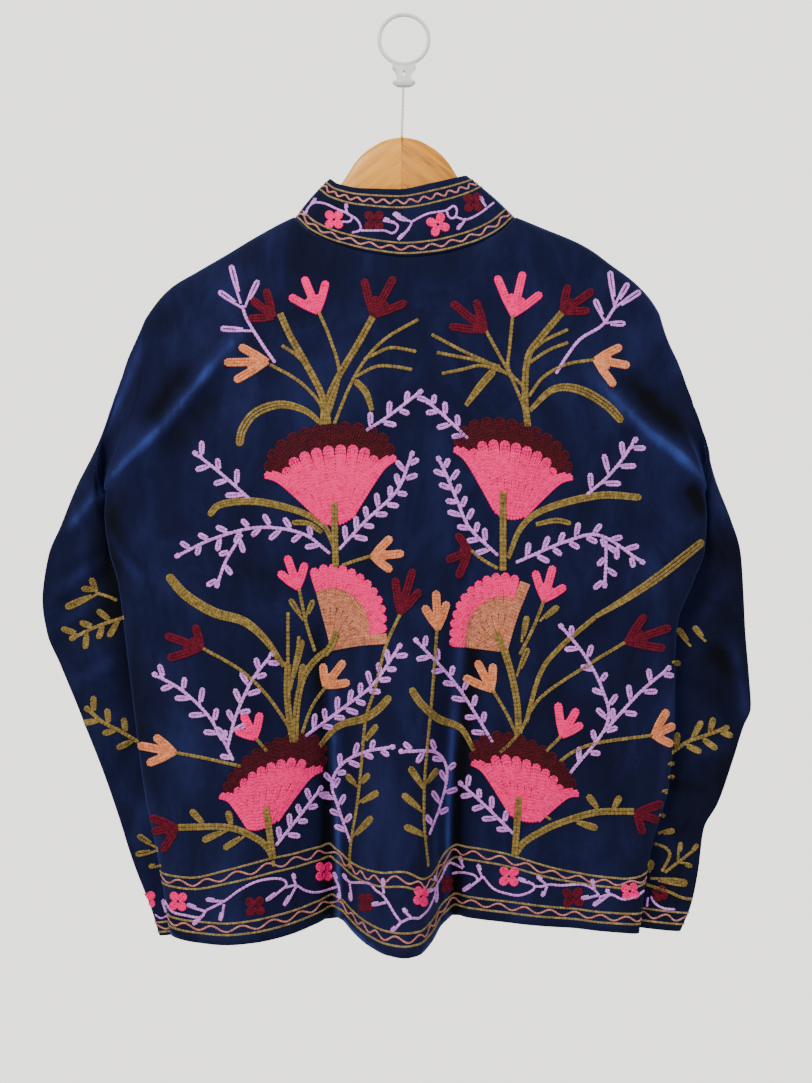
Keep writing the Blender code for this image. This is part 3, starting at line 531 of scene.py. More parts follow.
# %% Small creases
BACK_CREASES = (
    # from x, from z, to x, to z, half width, height towards the viewer
    (-138, -286, -176, -331, 6, 3.2),
    (-166, -320, -214, -378, 5, 4.0),
    (-204, -368, -264, -425, 5, 4.0),
    (-148, -312, -196, -374, 9, -2.0),
    (-182, -316, -224, -368, 9, -2.4),
    (-262, -462, -230, -508, 4, 2.8),
    (162, -326, 206, -373, 6, 3.4),
    (196, -364, 245, -404, 6, 4.0),
    (236, -397, 282, -434, 5, 3.8),
    (248, -424, 264, -446, 6, -3.0),
    (186, -330, 240, -386, 10, -2.6),
    (-205, -288, -196, -330, 10, 2.0),
    (196, -286, 206, -326, 9, 1.8),
    (-120, -250, -60, -262, 12, 1.4),
    (70, -246, 130, -262, 12, 1.2),
    (-232, -452, -196, -530, 13, 2.0),
    (236, -450, 204, -540, 12, 2.0),
    (-216, -560, -186, -700, 12, 1.8),
    (214, -560, 190, -690, 14, 1.6),
    (-96, -520, -104, -640, 14, 1.2),
    (96, -560, 104, -700, 14, 1.4),
    (-160, -740, -150, -820, 14, 1.6),
    (160, -700, 172, -815, 15, 1.6),
    (20, -300, 30, -480, 22, 1.2),
    (-80, -330, -96, -450, 24, 1.2),
    (84, -330, 100, -440, 24, 1.0),
    (-226, -640, -206, -660, 8, -1.4),
    (226, -600, 204, -622, 8, -1.4),
    (-58, -850, -62, -636, 4, 4.0),
    (-67, -850, -70, -636, 5, -4.0),
    (-62, -654, -66, -545, 6, 2.4),
    (-71, -654, -76, -545, 7, -2.4),
    (38, -850, 41, -656, 4, 4.0),
    (47, -850, 49, -656, 5, -4.0),
    (41, -672, 53, -520, 6, 2.6),
    (50, -672, 63, -520, 7, -2.6),
)
FRONT_CREASES = (
    # from x, from z, to x, to z, half width, height away from the back
    (-150, -300, -236, -402, 16, 3.0),
    (160, -305, 238, -398, 16, 3.0),
    (-120, -470, -140, -720, 22, 2.4),
    (118, -460, 136, -700, 24, 2.4),
    (-60, -560, -70, -820, 18, 2.0),
    (58, -540, 66, -815, 18, 2.0),
    (-196, -480, -180, -640, 12, 1.6),
    (198, -500, 182, -660, 12, 1.6),
)
SLEEVE_CREASES = (
    # from x, from z, to x, to z, half width, height towards the viewer
    (-226, -290, -264, -376, 6, 3.2),
    (-258, -418, -304, -462, 5, 4.0),
    (-290, -412, -262, -470, 8, 2.6),
    (-318, -520, -280, -496, 5, 3.2),
    (-320, -566, -270, -536, 6, -3.4),
    (-306, -604, -256, -578, 6, 3.2),
    (-296, -640, -252, -630, 6, 2.6),
    (-270, -690, -240, -650, 7, -2.4),
    (-250, -750, -222, -700, 6, 2.2),
    (262, -420, 300, -470, 6, 3.4),
    (286, -440, 258, -480, 8, 2.4),
    (300, -500, 270, -540, 7, 3.2),
    (306, -600, 276, -566, 6, -3.4),
    (300, -655, 256, -668, 7, 3.2),
    (276, -700, 236, -690, 6, -2.8),
    (262, -756, 228, -742, 6, 3.0),
    (256, -800, 222, -790, 6, -2.0),
)
# Painted light on the back and the sleeves: painted highlight along ridges and the flute's edges, painted
# shade in troughs and over the sleeves' shadowed parts.
PAINTED_LIGHT_LINES = (
    # from x, from z, to x, to z, half width, tone of painted light: 1 is the palest highlight and -1 the
    # darkest shade
    (-140, -288, -176, -331, 5, 0.15),
    (-168, -322, -214, -378, 5, 0.2),
    (-206, -370, -266, -425, 5, 0.25),
    (-160, -312, -262, -420, 15, 0.15),
    (-190, -318, -228, -372, 10, -0.6),
    (-160, -340, -215, -400, 11, -0.4),
    (-228, -292, -264, -376, 6, 0.45),
    (-260, -422, -304, -464, 5, 0.35),
    (-263, -452, -250, -486, 4, 0.4),
    (-252, -482, -228, -510, 5, 0.3),
    (-242, -640, -204, -800, 10, 0.5),
    (236, -600, 222, -740, 6, 0.5),
    (-248, -500, -240, -640, 5, 0.35),
    (-262, -436, -262, -560, 15, -0.9),
    (-250, -560, -228, -700, 14, -0.6),
    (-130, -228, -160, -262, 15, 0.35),
    (164, -328, 206, -373, 5, 0.2),
    (196, -364, 245, -404, 6, 0.25),
    (236, -397, 286, -438, 6, 0.35),
    (176, -338, 270, -420, 16, 0.25),
    (192, -326, 252, -384, 10, -0.7),
    (248, -424, 266, -448, 6, -0.9),
    (226, -268, 246, -330, 8, 0.4),
    (284, -440, 300, -620, 34, -0.45),
    (292, -640, 236, -810, 36, -0.5),
    (296, -560, 312, -636, 6, 0.7),
    (-58, -860, -60, -696, 4, 0.7),
    (-60, -706, -64, -590, 5, 0.4),
    (-68, -860, -70, -690, 6, -0.9),
    (-71, -700, -75, -555, 8, -0.6),
    (-18, -860, -16, -640, 28, 0.3),
    (36, -860, 40, -696, 4, 0.6),
    (40, -704, 46, -600, 4, 0.6),
    (46, -608, 57, -505, 5, 0.5),
    (46, -860, 49, -690, 6, -0.9),
    (50, -696, 62, -550, 8, -0.6),
    (-200, -560, -182, -700, 15, 0.25),
    (200, -560, 186, -690, 16, -0.3),
    (96, -760, 110, -850, 18, 0.25),
)
# The same for the fronts. None of these lines reach the collar, which shares them.
PAINTED_LIGHT_FRONT = (
    (-150, -300, -236, -402, 9, 0.2),
    (160, -305, 238, -398, 9, 0.2),
    (-120, -470, -140, -720, 14, 0.1),
    (118, -460, 136, -700, 14, 0.1),
)
# How much a millimetre of a small crease adds to the painted light: a ridge paler, a trough darker.
CREASE_PAINTED_LIGHT_SHARE = 0.1
RIPPLE = (
    # length along x, length along z, turn in degrees, start, height
    (86, 150, 12, 0.4, 0.55),
    (52, 118, -20, 1.9, 0.40),
    (37, 74, 31, 3.1, 0.22),
)


def ripple(x, z):
    """The slow unevenness of hung cloth, in millimetres."""
    out = np.zeros_like(x)
    for long_x, long_z, turn, start, height in RIPPLE:
        a = math.radians(turn)
        u = x * math.cos(a) + z * math.sin(a)
        v = z * math.cos(a) - x * math.sin(a)
        out += height * np.sin(2 * math.pi * u / long_x + start) * np.cos(2 * math.pi * v / long_z)
    return out


# %% The rules that turn tables into cloth
def smooth(xs, ys, x):
    """A smooth curve through the points of a table that never overshoots them."""
    xs = np.asarray(xs, float)
    ys = np.asarray(ys, float)
    x = np.clip(np.asarray(x, float), xs[0], xs[-1])
    step = np.diff(xs)
    rise = np.diff(ys, axis=0) / (step if ys.ndim == 1 else step[:, None])
    slope = np.zeros_like(ys)
    same = rise[:-1] * rise[1:] > 0
    both = np.where(same, rise[:-1] + rise[1:], 1.0)
    slope[1:-1] = np.where(same, 2 * rise[:-1] * rise[1:] / both, 0.0)
    slope[0] = rise[0]
    slope[-1] = rise[-1]
    i = np.clip(np.searchsorted(xs, x) - 1, 0, len(step) - 1)
    h = step[i]
    t = (x - xs[i]) / h
    a = ys[i]
    b = ys[i + 1]
    p = slope[i]
    q = slope[i + 1]
    if ys.ndim > 1:
        t = t[..., None]
        h = h[..., None]
    return (
        a * (1 + 2 * t) * (1 - t) ** 2
        + b * t * t * (3 - 2 * t)
        + h * (p * t * (1 - t) ** 2 - q * t * t * (1 - t))
    )


def columns(table):
    """A table's columns, in rising order of the first."""
    rows = sorted(table)
    return [np.array(c, float) for c in zip(*rows)]


def depth(table, xs, x, z):
    """Reads a depth table at x and z."""
    rows = sorted(table)
    heights = [r[0] for r in rows]
    values = np.array([r[1:] for r in rows], float)
    across = np.array([smooth(xs, row, x) for row in values])
    z = np.clip(z, heights[0], heights[-1])
    i = np.clip(np.searchsorted(heights, z) - 1, 0, len(heights) - 2)
    low = np.take(heights, i)
    high = np.take(heights, i + 1)
    t = (z - low) / (high - low)
    t = t * t * (3 - 2 * t) * 0.5 + t * 0.5
    a = np.take_along_axis(across, i[None], 0)[0]
    b = np.take_along_axis(across, i[None] + 1, 0)[0]
    return a + (b - a) * t


def folds(table, x, z):
    """The height of all ridges of a table at x and z; a crease is negative."""
    out = np.zeros_like(x)
    for x0, z0, x1, z1, half, height in table:
        dx = x1 - x0
        dz = z1 - z0
        long = math.hypot(dx, dz)
        along = ((x - x0) * dx + (z - z0) * dz) / (long * long)
        across = ((x - x0) * dz - (z - z0) * dx) / long
        fade = np.clip(np.minimum(along, 1 - along) * 3 + 0.35, 0, 1)
        fade = fade * fade * (3 - 2 * fade)
        out += height * fade * np.exp(-((across / half) ** 2))
    return out


def painted_fold_light_at(x, z, creases, lines):
    """The painted light and shade at each point of a panel, from its creases and its own lines."""
    return np.clip(folds(lines, x, z) + folds(creases, x, z) * CREASE_PAINTED_LIGHT_SHARE, -1.0, 1.2)


def rounding(q):
    """A quarter circle from 0 at an edge to 1 where the cloth lies flat."""
    q = np.clip(q, 0, 1)
    return np.sqrt(np.maximum(1 - (1 - q) ** 2, 0))


def side_edges(z):
    """The body's left and right edge at a height."""
    hz, left, right = columns(SIDE_EDGE)
    return smooth(hz, left, z), smooth(hz, right, z)


def armhole(side, s):
    """A point of the armhole seam, from 0 at the shoulder tip to 1 at the underarm."""
    tip, under = (TIP_LEFT, UNDERARM_LEFT) if side < 0 else (TIP_RIGHT, UNDERARM_RIGHT)
    bow = ARMHOLE_BOW * np.sin(math.pi * s)
    x = tip[0] + (under[0] - tip[0]) * s - side * bow
    z = tip[1] + (under[1] - tip[1]) * s
    return x, z


def body_room(x, z, spread):
    """How far a point lies inside the body's sides; the armholes may be moved out by a spread."""
    left, right = side_edges(np.minimum(z, UNDERARM_Z))
    above = z > UNDERARM_Z
    s_left = (z - TIP_LEFT[1]) / (UNDERARM_LEFT[1] - TIP_LEFT[1])
    s_right = (z - TIP_RIGHT[1]) / (UNDERARM_RIGHT[1] - TIP_RIGHT[1])
    arm_left = armhole(-1, np.clip(s_left, 0, 1))[0]
    arm_right = armhole(1, np.clip(s_right, 0, 1))[0]
    left = np.where(above, arm_left - spread, left)
    right = np.where(above, arm_right + spread, right)
    return np.minimum(x - left, right - x)


def edge_room(x, z):
    """How far a point lies inside the side edge, which opens into the sleeves above the underarm."""
    up = np.clip((z - UNDERARM_Z) / ARMHOLE_RISE, 0, 1)
    return body_room(x, z, ARMHOLE_SPREAD * up)


def neck_height(x, front):
    """The neck seam's height at x."""
    share, back, fore = columns(NECK_SEAM)
    return smooth(share, fore if front else back, (x - NECK_MID_X) / NECK_HALF)


def top_height(x, front):
    """The height of the cloth's top at x: the neck seam, the shoulders or the sleeves."""
    tx, tz = columns(TOP_EDGE)
    inside = np.abs(x - NECK_MID_X) < NECK_HALF
    return np.where(inside, neck_height(x, front), smooth(tx, tz, x))


def top_y(x, front):
    """The depth of the cloth's top edge at x."""
    q = np.clip((x - NECK_MID_X) / NECK_HALF, -1, 1)
    reach = NECK_FRONT_Y if front else NECK_BACK_Y
    return reach * np.sqrt(np.maximum(1 - q * q, 0))


def side_y(z):
    """The depth of the side seam at a height."""
    t = np.clip((UNDERARM_Z - z) / 40.0, 0, 1)
    return UNDERARM_Y + (SIDE_Y - UNDERARM_Y) * t


def cloth_y(x, z, front):
    """The depth of the body's cloth at x and z."""
    x = np.asarray(x, float)
    z = np.asarray(z, float)
    if front:
        flat = depth(FRONT_DEPTH, FRONT_X, x, z) + folds(FRONT_CREASES, x, z) + ripple(x + 40, z)
    else:
        flat = depth(BACK_DEPTH, BACK_X, x, z) - folds(BACK_FOLDS, x, z)
        flat = flat - folds(BACK_CREASES, x, z) + ripple(x, z)
    start = side_y(z)
    y = start + (flat - start) * rounding(edge_room(x, z) / SIDE_ROUND)
    top = top_y(x, front)
    below = top_height(x, front) - z
    return top + (y - top) * rounding(below / SHOULDER_ROUND)


def coons(bottom, top, left, right, us, vs):
    """Fills four edge curves with a net of points."""
    u = us[:, None, None]
    v = vs[None, :, None]
    b = bottom(us)[:, None, :]
    t = top(us)[:, None, :]
    l = left(vs)[None, :, :]
    r = right(vs)[None, :, :]
    ends = np.array([0.0, 1.0])
    b0, b1 = bottom(ends)
    t0, t1 = top(ends)
    corners = (1 - u) * (1 - v) * b0 + u * (1 - v) * b1 + (1 - u) * v * t0 + u * v * t1
    return (1 - v) * b + v * t + (1 - u) * l + u * r - corners


def side_line(side, xs_inset):
    """A panel's side: the side seam up to the underarm and then the armhole up to the tip."""

    def line(v):
        low = np.clip(v / UNDERARM_V, 0, 1)
        z = HEM_Z + (UNDERARM_Z - HEM_Z) * low
        left, right = side_edges(z)
        x = left if side < 0 else right
        s = 1 - np.clip((v - UNDERARM_V) / (1 - UNDERARM_V), 0, 1)
        ax, az = armhole(side, s)
        up = v > UNDERARM_V
        return np.stack([np.where(up, ax, x) - side * xs_inset, np.where(up, az, z)], axis=-1)

    return line


def hem_height(x, front):
    """The hem's height at x."""
    hx, back, fore = columns(HEM)
    return smooth(hx, fore if front else back, x)


def normals_of(points):
    """The unit normals of a net of points."""
    du = np.gradient(points, axis=0)
    dv = np.gradient(points, axis=1)
    n = np.cross(du, dv)
    return n / np.maximum(np.linalg.norm(n, axis=2, keepdims=True), 1e-9)


def shell_mesh(points, normals, thickness, ring):
    """A closed wall of cloth from a net of mid points; ring says that the first way round closes."""
    nu, nv = points.shape[:2]
    outer = points + normals * thickness / 2
    inner = points - normals * thickness / 2
    verts = np.concatenate([outer.reshape(-1, 3), inner.reshape(-1, 3)]) * MM
    off = nu * nv
    faces = []
    last = nu if ring else nu - 1
    for i in range(last):
        j = (i + 1) % nu
        for k in range(nv - 1):
            a = i * nv + k
            b = j * nv + k
            faces.append((a, b, b + 1, a + 1))
            faces.append((off + a, off + a + 1, off + b + 1, off + b))
        for k in (0, nv - 1):
            a = i * nv + k
            b = j * nv + k
            faces.append((a, off + a, off + b, b) if k == 0 else (a, b, off + b, off + a))
    if not ring:
        for k in range(nv - 1):
            a = k
            b = (nu - 1) * nv + k
            faces.append((a, a + 1, off + a + 1, off + a))
            faces.append((b, off + b, off + b + 1, b + 1))
    return verts, faces


def neck_normal(x, front):
    """The direction that the cloth faces along the neck seam."""
    q = (x - NECK_MID_X) / NECK_HALF
    reach = NECK_FRONT_Y if front else NECK_BACK_Y
    side = np.sqrt(np.maximum(1 - q * q, 0))
    n = np.stack([q / NECK_HALF, side / reach, np.zeros_like(q)], axis=-1)
    n = n / np.maximum(np.linalg.norm(n, axis=-1, keepdims=True), 1e-9)
    tilt = CORNER_TILT * q**8
    n = n * np.sqrt(1 - tilt**2)[..., None]
    n[..., 2] += tilt
    return n


def cloth_normal(x, z, front):
    """The direction that the body's cloth faces at x and z."""
    h = 1.5
    dx = (cloth_y(x + h, z, front) - cloth_y(x - h, z, front)) / (2 * h)
    dz = (cloth_y(x, z + h, front) - cloth_y(x, z - h, front)) / (2 * h)
    way = 1.0 if front else -1.0
    n = np.stack([-dx * way, np.full_like(dx, way), -dz * way], axis=-1)
    return n / np.linalg.norm(n, axis=-1, keepdims=True)


def armhole_normals(side, s, front):
    """The direction that the cloth faces along the armhole seam, from 0 at the tip."""
    s = np.asarray(s, float)
    x, z = armhole(side, s)
    n = cloth_normal(x, z, front)
    n[s < 0.01] = (side * 0.6, 0.0, 0.8)
    n[s > 0.99] = (side * 0.6, 0.0, -0.8)
    return n


def seam_normals(points, normals, front, open_a, open_b):
    """At a seam both sides face the same way, so that their walls meet without crossing."""
    out = normals * (1.0 if (normals[..., 1].mean() > 0) == front else -1.0)
    x = points[..., 0]
    z = points[..., 2]
    neck = np.abs(x[:, -1] - NECK_MID_X) < NECK_HALF + 0.5
    out[neck, -1] = neck_normal(x[neck, -1], front)
    for i in np.where(~neck)[0]:
        t = points[min(i + 1, len(x) - 1), -1] - points[max(i - 1, 0), -1]
        n = np.array([-t[2], 0.0, t[0]])
        out[i, -1] = n / np.linalg.norm(n)
    arm = np.array(ARMHOLE_ROWS)
    for column, open_side, side in ((0, open_a, -1), (-1, open_b, 1)):
        if open_side:
            continue
        out[column, -len(arm) :] = armhole_normals(side, arm, front)
        for k in range(points.shape[1] - len(arm)):
            t = points[column, k + 1] - points[column, max(k - 1, 0)]
            n = np.array([t[2], 0.0, -t[0]]) * side
            out[column, k] = n / np.linalg.norm(n)
    return out


def seam_gaps(points, front, open_a, open_b):
    """Moves the edges that meet the other panel along the side and shoulder seams apart."""
    out = points.copy()
    shift = SEAM if front else -SEAM
    x = points[..., 0]
    z = points[..., 2]
    shoulder = np.abs(x[:, -1] - NECK_MID_X) >= NECK_HALF - 0.5
    out[shoulder, -1, 1] += shift
    for column, open_side in ((0, open_a), (-1, open_b)):
        if open_side:
            continue
        low = z[column] < UNDERARM_Z + 2
        out[column, low, 1] += shift
    return out


def row_places(front):
    """Row places from the hem up: even below the underarm, then those of the armhole."""
    low = np.linspace(0, UNDERARM_V, FRONT_LOW_ROWS if front else BACK_LOW_ROWS)
    return np.concatenate([low[:-1], UNDERARM_V + (1 - UNDERARM_V) * (1 - np.array(ARMHOLE_ROWS))])


def top_places(hem_x, first, last):
    """The columns' places at the top, with one on each corner of the neck."""
    hem_x = np.asarray(hem_x, float)
    top = first + (last - first) * (hem_x - hem_x[0]) / (hem_x[-1] - hem_x[0])
    for corner in (NECK_MID_X - NECK_HALF, NECK_MID_X + NECK_HALF):
        if top[0] < corner < top[-1]:
            top[np.argmin(np.abs(top - corner))] = corner
    return top


def front_places():
    """The columns of both fronts, at the hem and at the top."""
    half = FRONT_GAP / 2
    left = np.array(FRONT_COLUMNS + (-half,), float)
    right = HEM_RIGHT - (left[::-1] - left[0]) * (HEM_RIGHT - half) / (left[-1] - left[0])
    left_top = top_places(left, TIP_LEFT[0], -half)
    right_top = top_places(right, half, TIP_RIGHT[0])
    return left, left_top, right, right_top


def collar_angles():
    """The places round the neck of the panels' columns, from the left front round the back."""
    left, left_top, right, right_top = front_places()
    back = top_places(BACK_COLUMNS, TIP_LEFT[0], TIP_RIGHT[0])
    low = NECK_MID_X - NECK_HALF
    high = NECK_MID_X + NECK_HALF
    parts = (
        (left_top[(left_top >= low)][::-1], True),
        (back[(back > low) & (back < high)], False),
        (right_top[(right_top <= high)][::-1], True),
    )
    angles = []
    for xs, front in parts:
        c = np.clip((xs - NECK_MID_X) / NECK_HALF, -1, 1)
        a = np.arccos(c)
        angles.append(a if front else 2 * math.pi - a)
    angles[2] = angles[2] + 2 * math.pi
    return np.concatenate(angles)


# %% [markdown]
# A panel is a net of points between its edges: hem, side seams, armholes and neck. Its depth comes
# from the tables, and where it nears a seam it curves round to meet the other panel. The nets are
# finer than the solids' own, FINER times in the body, and the small creases go in here. Cloth
# could also be draped by simulation, but these folds have to lie where the real ones lie.

# %% Finer rows and columns, and the body's nets
def finer(places, times):
    """Splits each step of a list of places into equal smaller ones."""
    places = np.asarray(places, float)
    whole = np.arange(len(places))
    return np.interp(np.linspace(0, len(places) - 1, (len(places) - 1) * times + 1), whole, places)


def body_net(hem_x, top_x, front, open_a, open_b):
    """The mid points and normals of one panel of the body."""
    us = (hem_x - hem_x[0]) / (hem_x[-1] - hem_x[0])
    vs = row_places(front)

    def bottom(u):
        x = hem_x[0] + (hem_x[-1] - hem_x[0]) * u
        return np.stack([x, hem_height(x, front)], axis=-1)

    def top(u):
        x = np.interp(u, us, top_x)
        return np.stack([x, top_height(x, front) - SEAM], axis=-1)

    def middle(x):
        low = float(hem_height(np.array([x]), front)[0])
        high = float(top_height(np.array([x]), front)[0]) - SEAM

        def line(v):
            return np.stack([np.full_like(v, x), low + (high - low) * v], axis=-1)

        return line

    left = middle(hem_x[0]) if open_a else side_line(-1, SEAM)
    right = middle(hem_x[-1]) if open_b else side_line(1, SEAM)
    flat = coons(bottom, top, left, right, us, vs)
    x = flat[..., 0]
    z = flat[..., 1]
    points = np.stack([x, cloth_y(x, z, front), z], axis=-1)
    normals = seam_normals(points, normals_of(points), front, open_a, open_b)
    return seam_gaps(points, front, open_a, open_b), normals


# %% The sleeves' and the collar's nets
def between_rings(points, times):
    """A net with more rings, on smooth curves through the given ones."""
    count = points.shape[1]
    where = np.linspace(0, count - 1, (count - 1) * times + 1)
    flat = points.transpose(1, 0, 2).reshape(count, -1)
    fine = smooth(np.arange(count), flat, where)
    return fine.reshape(len(where), -1, 3).transpose(1, 0, 2)


def sleeve_net(side, table):
    """The mid points and normals of a sleeve, ring by ring from the armhole to the cuff."""
    rows = ARMHOLE_FINE[::-1]
    share = np.concatenate([rows, rows[-2:0:-1]])
    swing = 2 * np.sqrt(share * (1 - share))
    back = np.arange(len(share)) < len(rows)
    swing[~back] *= -1
    x, z = armhole(side, share)
    y = np.where(back, cloth_y(x, z, False), cloth_y(x, z, True))
    y[share < 0.01] = 0.0
    y[share > 0.99] = UNDERARM_Y
    rings = [np.stack([x + side * SLEEVE_SEAM, y, z - SEAM], axis=-1)]
    for ox, oz, oy, ix, iz, iy, sag, deep, fore in table:
        bow = sag * np.sin(math.pi * share)
        px = ox + (ix - ox) * share + side * bow * 0.8
        pz = oz + (iz - oz) * share - bow * 0.6
        full = np.sign(swing) * np.abs(swing) ** 0.8
        full = np.where(swing > 0, full * (1 - share**2), full)
        py = oy + (iy - oy) * share - np.where(swing > 0, deep, fore) * full
        hidden = np.clip(body_room(px, pz, 0.0) / TUCK + 1.2, 0, 1)
        floor = depth(FRONT_DEPTH, FRONT_X, px, pz) + BEHIND_FRONT - (1 - hidden) * TUCK_DROP
        py = np.maximum(py, np.where(swing > 0, floor, floor + SLEEVE_LEAST))
        rings.append(np.stack([px, py, pz], axis=-1))
    points = between_rings(np.stack(rings, axis=1), SLEEVE_RINGS_TIMES)
    seen = np.clip(swing * 1.5, 0, 1)[:, None]
    away = np.clip(np.arange(points.shape[1]) / (3.0 * SLEEVE_RINGS_TIMES), 0, 1)[None, :]
    x = points[..., 0]
    z = points[..., 2]
    points[..., 1] -= folds(SLEEVE_FOLDS, x, z) * seen * away
    points[..., 1] -= folds(SLEEVE_CREASES, x, z) * seen * away
    points[..., 1] += folds(SLEEVE_CREASES, x, z + 21.0) * np.clip(-swing[:, None], 0, 1) * away * 0.8
    wrap = np.concatenate([points[-1:], points, points[:1]])
    normals = normals_of(wrap)[1:-1]
    centre = points.mean(axis=0, keepdims=True)
    if ((points - centre) * normals).sum(axis=2).mean() < 0:
        normals = -normals
    normals[back, 0] = armhole_normals(side, share[back], False)
    normals[~back, 0] = armhole_normals(side, share[~back], True)
    return points, normals


def collar_net():
    """The mid points and normals of the collar, from the left front round the back to the right."""
    angle = collar_angles()
    c = np.cos(angle)
    s = np.sin(angle)
    front = s > 1e-9
    share, back, fore = columns(COLLAR_TOP)
    low_x = NECK_MID_X + NECK_HALF * c
    low_y = np.where(front, NECK_FRONT_Y * s, -NECK_BACK_Y * s)
    low_z = np.where(front, neck_height(low_x, True), neck_height(low_x, False)) + COLLAR_LIFT
    high_x = COLLAR_TOP_MID_X + COLLAR_TOP_HALF * c
    high_y = np.where(front, COLLAR_TOP_FRONT_Y * s, -COLLAR_TOP_BACK_Y * s)
    high_z = np.where(front, smooth(share, fore, c), smooth(share, back, c))
    low = np.stack([low_x, low_y, low_z], axis=-1)
    high = np.stack([high_x, high_y, high_z], axis=-1)
    t = np.linspace(0, 1, COLLAR_ROWS)[None, :, None]
    points = low[:, None, :] * (1 - t) + high[:, None, :] * t
    normals = normals_of(points)
    centre = points.mean(axis=(0, 1), keepdims=True)
    if ((points - centre) * normals).sum(axis=2).mean() < 0:
        normals = -normals
    points = points + normals * 1.5 * np.sin(math.pi * t)
    back_way = neck_normal(low_x, False)
    front_way = neck_normal(low_x, True)
    normals[:, 0] = np.where(front[:, None], front_way, back_way)
    return points, normals


# %% [markdown]
# Each net becomes a closed thin wall of cloth, 1.8 mm through, that stands in for its solid, or for
# the two solids of a sleeve. The size that it was cut to before it was sewn and hung is listed with
# it, and its area is printed beside the cloth's. A single face of cloth would be simpler, but its
# edges would look like paper.

# %% The velvet pieces
def velvet_piece(name, nodes, net, ring, flat, area, creases):
    """Makes one velvet piece from its net and hides the solids that it stands for."""
    points, normals = net
    verts, faces = shell_mesh(points, normals, CLOTH, ring)
    corners = np.array(faces)
    volume = 0.0
    for second, third in ((1, 2), (2, 3)):
        a, b, c = (verts[corners[:, k]] for k in (0, second, third))
        volume += float((a * np.cross(b, c)).sum() / 6)
    if volume < 0:
        faces = [tuple(reversed(f)) for f in faces]
    piece = new_piece(name, verts.tolist(), faces, navy_velvet)
    # Each point of the cloth carries the painted light and shade of the folds, for the velvet's ramp.
    tone = painted_fold_light_at(points[..., 0].ravel(), points[..., 2].ravel(), *creases)
    piece.data.attributes.new("painted_fold_light", "FLOAT", "POINT")
    piece.data.attributes["painted_fold_light"].data.foreach_set("value", np.concatenate([tone, tone]))
    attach(piece, "root")
    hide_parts(*nodes)
    print(name, "faces:", len(faces))
    return piece


FINER = 4
BACK_LOW_ROWS = (BACK_LOW_ROWS - 1) * FINER + 1
FRONT_LOW_ROWS = (FRONT_LOW_ROWS - 1) * FINER + 1
ARMHOLE_FINE = finer(ARMHOLE_ROWS, FINER)
ARMHOLE_ROWS = tuple(ARMHOLE_FINE)
BACK_COLUMNS = tuple(finer(BACK_COLUMNS, FINER))
FRONT_COLUMNS = tuple(finer(FRONT_COLUMNS, FINER))
SLEEVE_RINGS_TIMES = 6
COLLAR_ROWS = 17

back_net = body_net(
    np.array(BACK_COLUMNS), top_places(BACK_COLUMNS, TIP_LEFT[0], TIP_RIGHT[0]), False, False, False
)
left_hem, left_top, right_hem, right_top = front_places()
front_left_net = body_net(left_hem, left_top, True, False, True)
front_right_net = body_net(right_hem, right_top, True, True, False)
sleeve_left_net = sleeve_net(-1, SLEEVE_LEFT)
sleeve_right_net = sleeve_net(1, SLEEVE_RIGHT)
collar_net_points = collar_net()

ON_BACK = (BACK_CREASES, PAINTED_LIGHT_LINES)
ON_SLEEVE = (SLEEVE_CREASES, PAINTED_LIGHT_LINES)
ON_FRONT = (FRONT_CREASES, PAINTED_LIGHT_FRONT)
ON_COLLAR = (PAINTED_LIGHT_FRONT, PAINTED_LIGHT_FRONT)
HALVES_LEFT = ("sleeve_left_upper", "sleeve_left_under")
HALVES_RIGHT = ("sleeve_right_upper", "sleeve_right_under")
VELVET = (
    # name, nodes, net, closes round, flat size, area, creases and painted light lines
    ("velvet_back", ("back_panel",), back_net, False, (0.56, 0.66), 0.31, ON_BACK),
    ("velvet_front_left", ("front_left",), front_left_net, False, (0.27, 0.65), 0.145, ON_FRONT),
    ("velvet_front_right", ("front_right",), front_right_net, False, (0.27, 0.65), 0.145, ON_FRONT),
    ("velvet_sleeve_left", HALVES_LEFT, sleeve_left_net, True, (0.34, 0.60), 0.109, ON_SLEEVE),
    ("velvet_sleeve_right", HALVES_RIGHT, sleeve_right_net, True, (0.34, 0.60), 0.109, ON_SLEEVE),
    ("velvet_collar", ("collar",), collar_net_points, False, (0.42, 0.07), 0.0205, ON_COLLAR),
)
velvet_pieces = [velvet_piece(*entry) for entry in VELVET]
for entry, piece in zip(VELVET, velvet_pieces):
    area = sum(p.area for p in piece.data.polygons) / 2
    print(entry[0], "cloth area", round(area, 4), "of a flat", entry[5])

# %% [markdown]
# The flowers are worked in chain stitch with wool. Each stitch is a small loop, and the next one
# comes up through it, so a row looks like a braid of drops, two to four millimetres wide and about
# 3 mm a link. A leaf or a petal is filled with rows side by side. Every link here is a small shell
# with two strands and a groove between them, and all the links of one colour in one part of the
# jacket are joined in one piece. A painted pattern would be lighter, but it would lie flat.

# %% Wool
def wool(name, deep, mid, light, sheen):
    """Two-ply embroidery wool of one colour, with painted highlight and shade of its plies in random
    patches.
    """
    material, tree, shader = new_material(
        name,
        Roughness=0.78,
        Specular_IOR_Level=0.22,
        IOR=1.5,
        Sheen_Weight=0.16,
        Sheen_Roughness=0.45,
        Sheen_Tint=linear(sheen),
    )
    place = add_node(tree, "ShaderNodeTexCoord")
    # The ramp's deep and light ends are painted shade and painted highlight of the plies, laid in random
    # patches together with the wool's uneven dye.
    dye_and_ply_shade = noise(tree, place, "Object", 0.0035, Detail=3.0, Roughness=0.6)
    fuzz = noise(tree, place, "Object", 0.0009, Detail=2.0, Roughness=0.7)
    mixed = mix(tree, 0.5, (dye_and_ply_shade, "Fac"), (fuzz, "Fac"))
    shade = colour_ramp(tree, mixed, "Result", ((0.34, deep), (0.5, mid), (0.66, light)))
    join_surface(tree, shader, shade, bump(tree, fuzz, 0.4, 0.0005))
    return material


